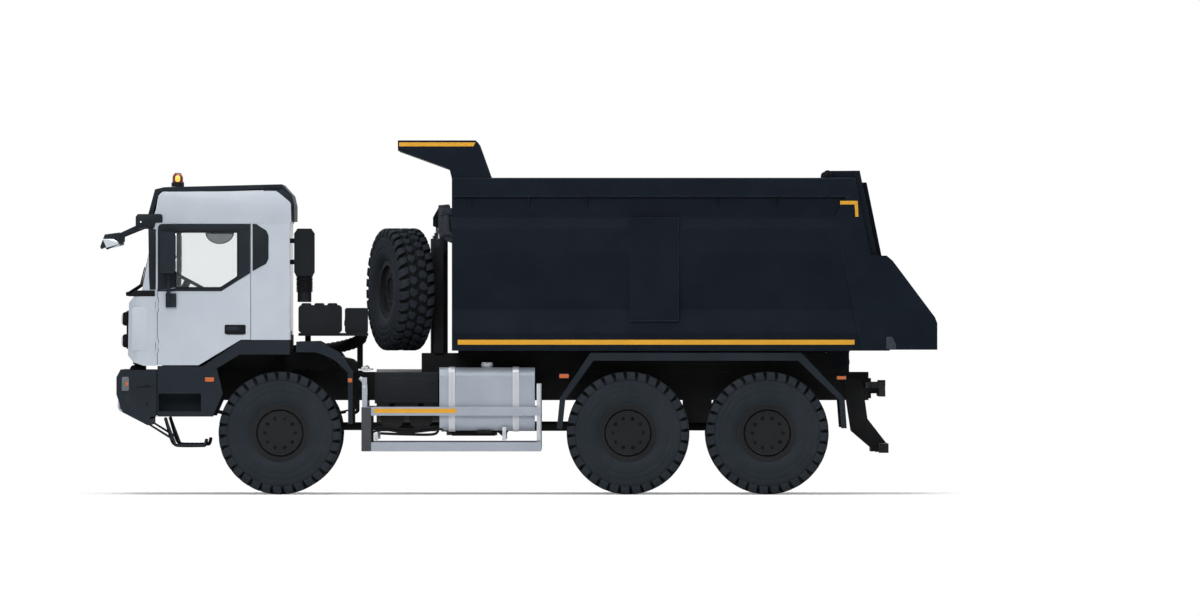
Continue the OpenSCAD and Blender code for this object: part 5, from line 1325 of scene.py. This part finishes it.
def buildRearMount():
    # cross-beam that the cab rests on, with its two air springs, and the ribbed gearbox behind the engine
    bm = bmesh.new()
    addSlab(bm, (-2.330, -2.250), (-0.62, 0.62), (1.300, 1.380), 0.006)
    for side in (-1, 1):
        addSlab(bm, (-2.330, -2.250), sorted((side * 0.34, side * 0.46)), (1.160, 1.302), 0.004)
        addPrism(bm, [(-2.330, 1.378), (-2.250, 1.378), (-2.262, 1.420), (-2.318, 1.420)], "y",
                 *sorted((side * 0.46, side * 0.60)), 0.004)
    makePiece("cabRearBeam", bm, "chassis", "frame_black")
    bm = bmesh.new()
    for side in (-1, 1):
        profile = [(0.0, 0.0), (0.0, 0.052)]
        for step in range(9):
            profile.append((0.008 + 0.014 * step, 0.060 if step % 2 else 0.050))
        profile += [(0.126, 0.052), (0.126, 0.0)]
        addLathe(bm, profile, (-2.290, side * 0.53, 1.418), (0, 0, 1), 28)
    makePiece("cabAirSprings", bm, "chassis", "bellows_rubber")
    bm = bmesh.new()
    addPrism(bm, [(-2.346, 1.190), (-1.700, 1.120), (-1.640, 1.160), (-1.640, 1.330), (-1.720, 1.400),
                  (-2.060, 1.470), (-2.346, 1.500)], "y", -0.24, 0.24, 0.020)
    for step in range(6):
        x = -2.280 + 0.100 * step
        top = 1.500 - 0.11 * step / 6
        addPrism(bm, [(x, 1.200), (x + 0.014, 1.200), (x + 0.014, top), (x, top)], "y", -0.262, 0.262, 0.003)
    makePiece("gearboxCase", bm, "chassis", "engine_iron")
    # intake hose from the air box down to the engine
    bm = bmesh.new()
    hose = smoothPath([(-1.800, -0.780, 1.800), (-1.700, -0.760, 1.780), (-1.640, -0.700, 1.700),
                       (-1.650, -0.560, 1.600), (-1.800, -0.380, 1.540), (-2.000, -0.220, 1.500),
                       (-2.150, -0.120, 1.460)], 8)
    radii = [0.058 + (0.005 if index % 2 else -0.003) for index in range(len(hose))]
    addTube(bm, hose, radii, 18)
    makePiece("intakeHose", bm, "chassis", "bellows_rubber", 60.0)


buildRearMount()
print("steps, mirrors and liners placed")

# seats: padded cushion, back and head rest each swollen as cloth, cushion and back then seamed
seat = {"y": 0.640, "wide": 0.236, "voxel": 0.006, "pressure": 4.0, "cap": 0.016, "frames": 20,
        "fill": 0.75, "seamDepth": 0.007, "shrink": 0.010}


def padBlock(name, outline, middle, half):
    # a closed pad from its side outline, rounded at every edge
    bm = bmesh.new()
    addPrism(bm, outline, "y", middle - half, middle + half, 0.028)
    bmesh.ops.recalc_face_normals(bm, faces=bm.faces)
    mesh = bpy.data.meshes.new(name)
    bm.to_mesh(mesh)
    bm.free()
    pad = bpy.data.objects.new(name, mesh)
    bpy.context.scene.collection.objects.link(pad)
    return pad


def applyModifiers(pad):
    ready = pad.evaluated_get(bpy.context.evaluated_depsgraph_get())
    mesh = bpy.data.meshes.new_from_object(ready)
    pad.modifiers.clear()
    pad.data = mesh


def swellPad(pad, flatBelow=None):
    remesh = pad.modifiers.new("evenSkin", "REMESH")
    remesh.mode = "VOXEL"
    remesh.voxel_size = seat["voxel"] * 2.0
    applyModifiers(pad)
    before = [vertex.co.copy() for vertex in pad.data.vertices]
    cloth = pad.modifiers.new("stuffing", "CLOTH")
    cloth.settings.quality = 4
    cloth.settings.mass = 0.3
    cloth.settings.use_pressure = True
    cloth.settings.uniform_pressure_force = seat["pressure"]
    cloth.settings.effector_weights.gravity = 0.0
    cloth.point_cache.frame_start = 1
    cloth.point_cache.frame_end = seat["frames"]
    for step in range(1, seat["frames"] + 1):
        bpy.context.scene.frame_set(step)
    applyModifiers(pad)
    bpy.context.scene.frame_set(1)
    for vertex, start in zip(pad.data.vertices, before):
        move = vertex.co - start
        if move.length > seat["cap"]:
            vertex.co = start + move.normalized() * seat["cap"]
        if flatBelow is not None and vertex.co.z < flatBelow:
            vertex.co.z = flatBelow
    smooth = pad.modifiers.new("finer", "SUBSURF")
    smooth.levels = 1
    smooth.render_levels = 1
    applyModifiers(pad)


def sewPad(pad, channels, along):
    # sewn channels are pressed in after the skin is final
    for vertex in pad.data.vertices:
        press = 0.0
        for place in channels:
            away = abs(along(vertex.co) - place)
            press = max(press, 1.0 - away / 0.012)
        if press > 0:
            vertex.co -= vertex.normal * seat["seamDepth"] * press * press * (3 - 2 * press)


def finishPad(pad):
    pad.data.materials.clear()
    pad.data.materials.append(finish["seat_fabric"])
    pad.data.shade_smooth()
    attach(pad, "cab")
    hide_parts("seats")


def buildSeat(side, name):
    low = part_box("seats")[0]
    y = side * seat["y"]
    x = low.x
    z = low.z
    s = seat["shrink"]
    cushion = padBlock("seatCushion_" + name, [
        (x + s, z + 0.160), (x + 0.500, z + 0.160), (x + 0.505, z + 0.270), (x + 0.16, z + 0.276),
        (x + 0.05, z + 0.270), (x + s, z + 0.235)], y, seat["wide"] - s)
    swellPad(cushion, z + 0.150)
    sewPad(cushion, (y - 0.130, y + 0.130), lambda spot: spot.y)
    sewPad(cushion, (x + 0.17, x + 0.33), lambda spot: spot.x)
    finishPad(cushion)
    back = padBlock("seatBack_" + name, [
        (x + 0.420, z + 0.285), (x + 0.520, z + 0.285), (x + 0.600, z + 0.580), (x + 0.682, z + 0.880),
        (x + 0.610, z + 0.885), (x + 0.500, z + 0.560)], y, seat["wide"] - 0.016)
    swellPad(back)
    sewPad(back, (y - 0.130, y + 0.130), lambda spot: spot.y)
    sewPad(back, (z + 0.42, z + 0.56, z + 0.70), lambda spot: spot.z)
    finishPad(back)
    rest = padBlock("seatHead_" + name, [
        (x + 0.612, z + 0.912), (x + 0.676, z + 0.912), (x + 0.690, z + 1.060), (x + 0.640, z + 1.064)],
        y, 0.112)
    swellPad(rest)
    finishPad(rest)
    # plinth, suspension boot, runners, side bolsters' shields and head rest posts
    bm = bmesh.new()
    addSlab(bm, (x + 0.10, x + 0.50), (y - 0.19, y + 0.19), (z + 0.120, z + 0.152), 0.006)
    for runner in (-0.16, 0.16):
        addSlab(bm, (x + 0.08, x + 0.52), (y + runner - 0.022, y + runner + 0.022), (z, z + 0.026), 0.004)
    for post in (-0.05, 0.05):
        addTube(bm, [(x + 0.640, y + post, z + 0.850), (x + 0.650, y + post, z + 0.930)], 0.006, 10)
    addPrism(bm, [(x + 0.30, z + 0.150), (x + 0.46, z + 0.150), (x + 0.53, z + 0.330), (x + 0.49, z + 0.350),
                  (x + 0.42, z + 0.250), (x + 0.30, z + 0.230)], "y",
             y + 0.230, y + 0.238, 0.003)
    makePiece("seatFrame_" + name, bm, "cab", "dash_plastic")
    bm = bmesh.new()
    rings = []
    for step in range(9):
        grow = 0.010 if step % 2 else -0.004
        height = z + 0.026 + 0.094 * step / 8
        corners = [(x + 0.16 - grow, y - 0.15 - grow), (x + 0.46 + grow, y - 0.15 - grow),
                   (x + 0.46 + grow, y + 0.15 + grow), (x + 0.16 - grow, y + 0.15 + grow)]
        rings.append([bm.verts.new((cx, cy, height)) for cx, cy in corners])
    for before, after in zip(rings, rings[1:]):
        for part in range(4):
            n = (part + 1) % 4
            bm.faces.new((before[part], before[n], after[n], after[part]))
    bm.faces.new(rings[0])
    bm.faces.new(rings[-1])
    makePiece("seatBoot_" + name, bm, "cab", "bellows_rubber")


bothSides(buildSeat)
print("seats padded")

print("truck finished")
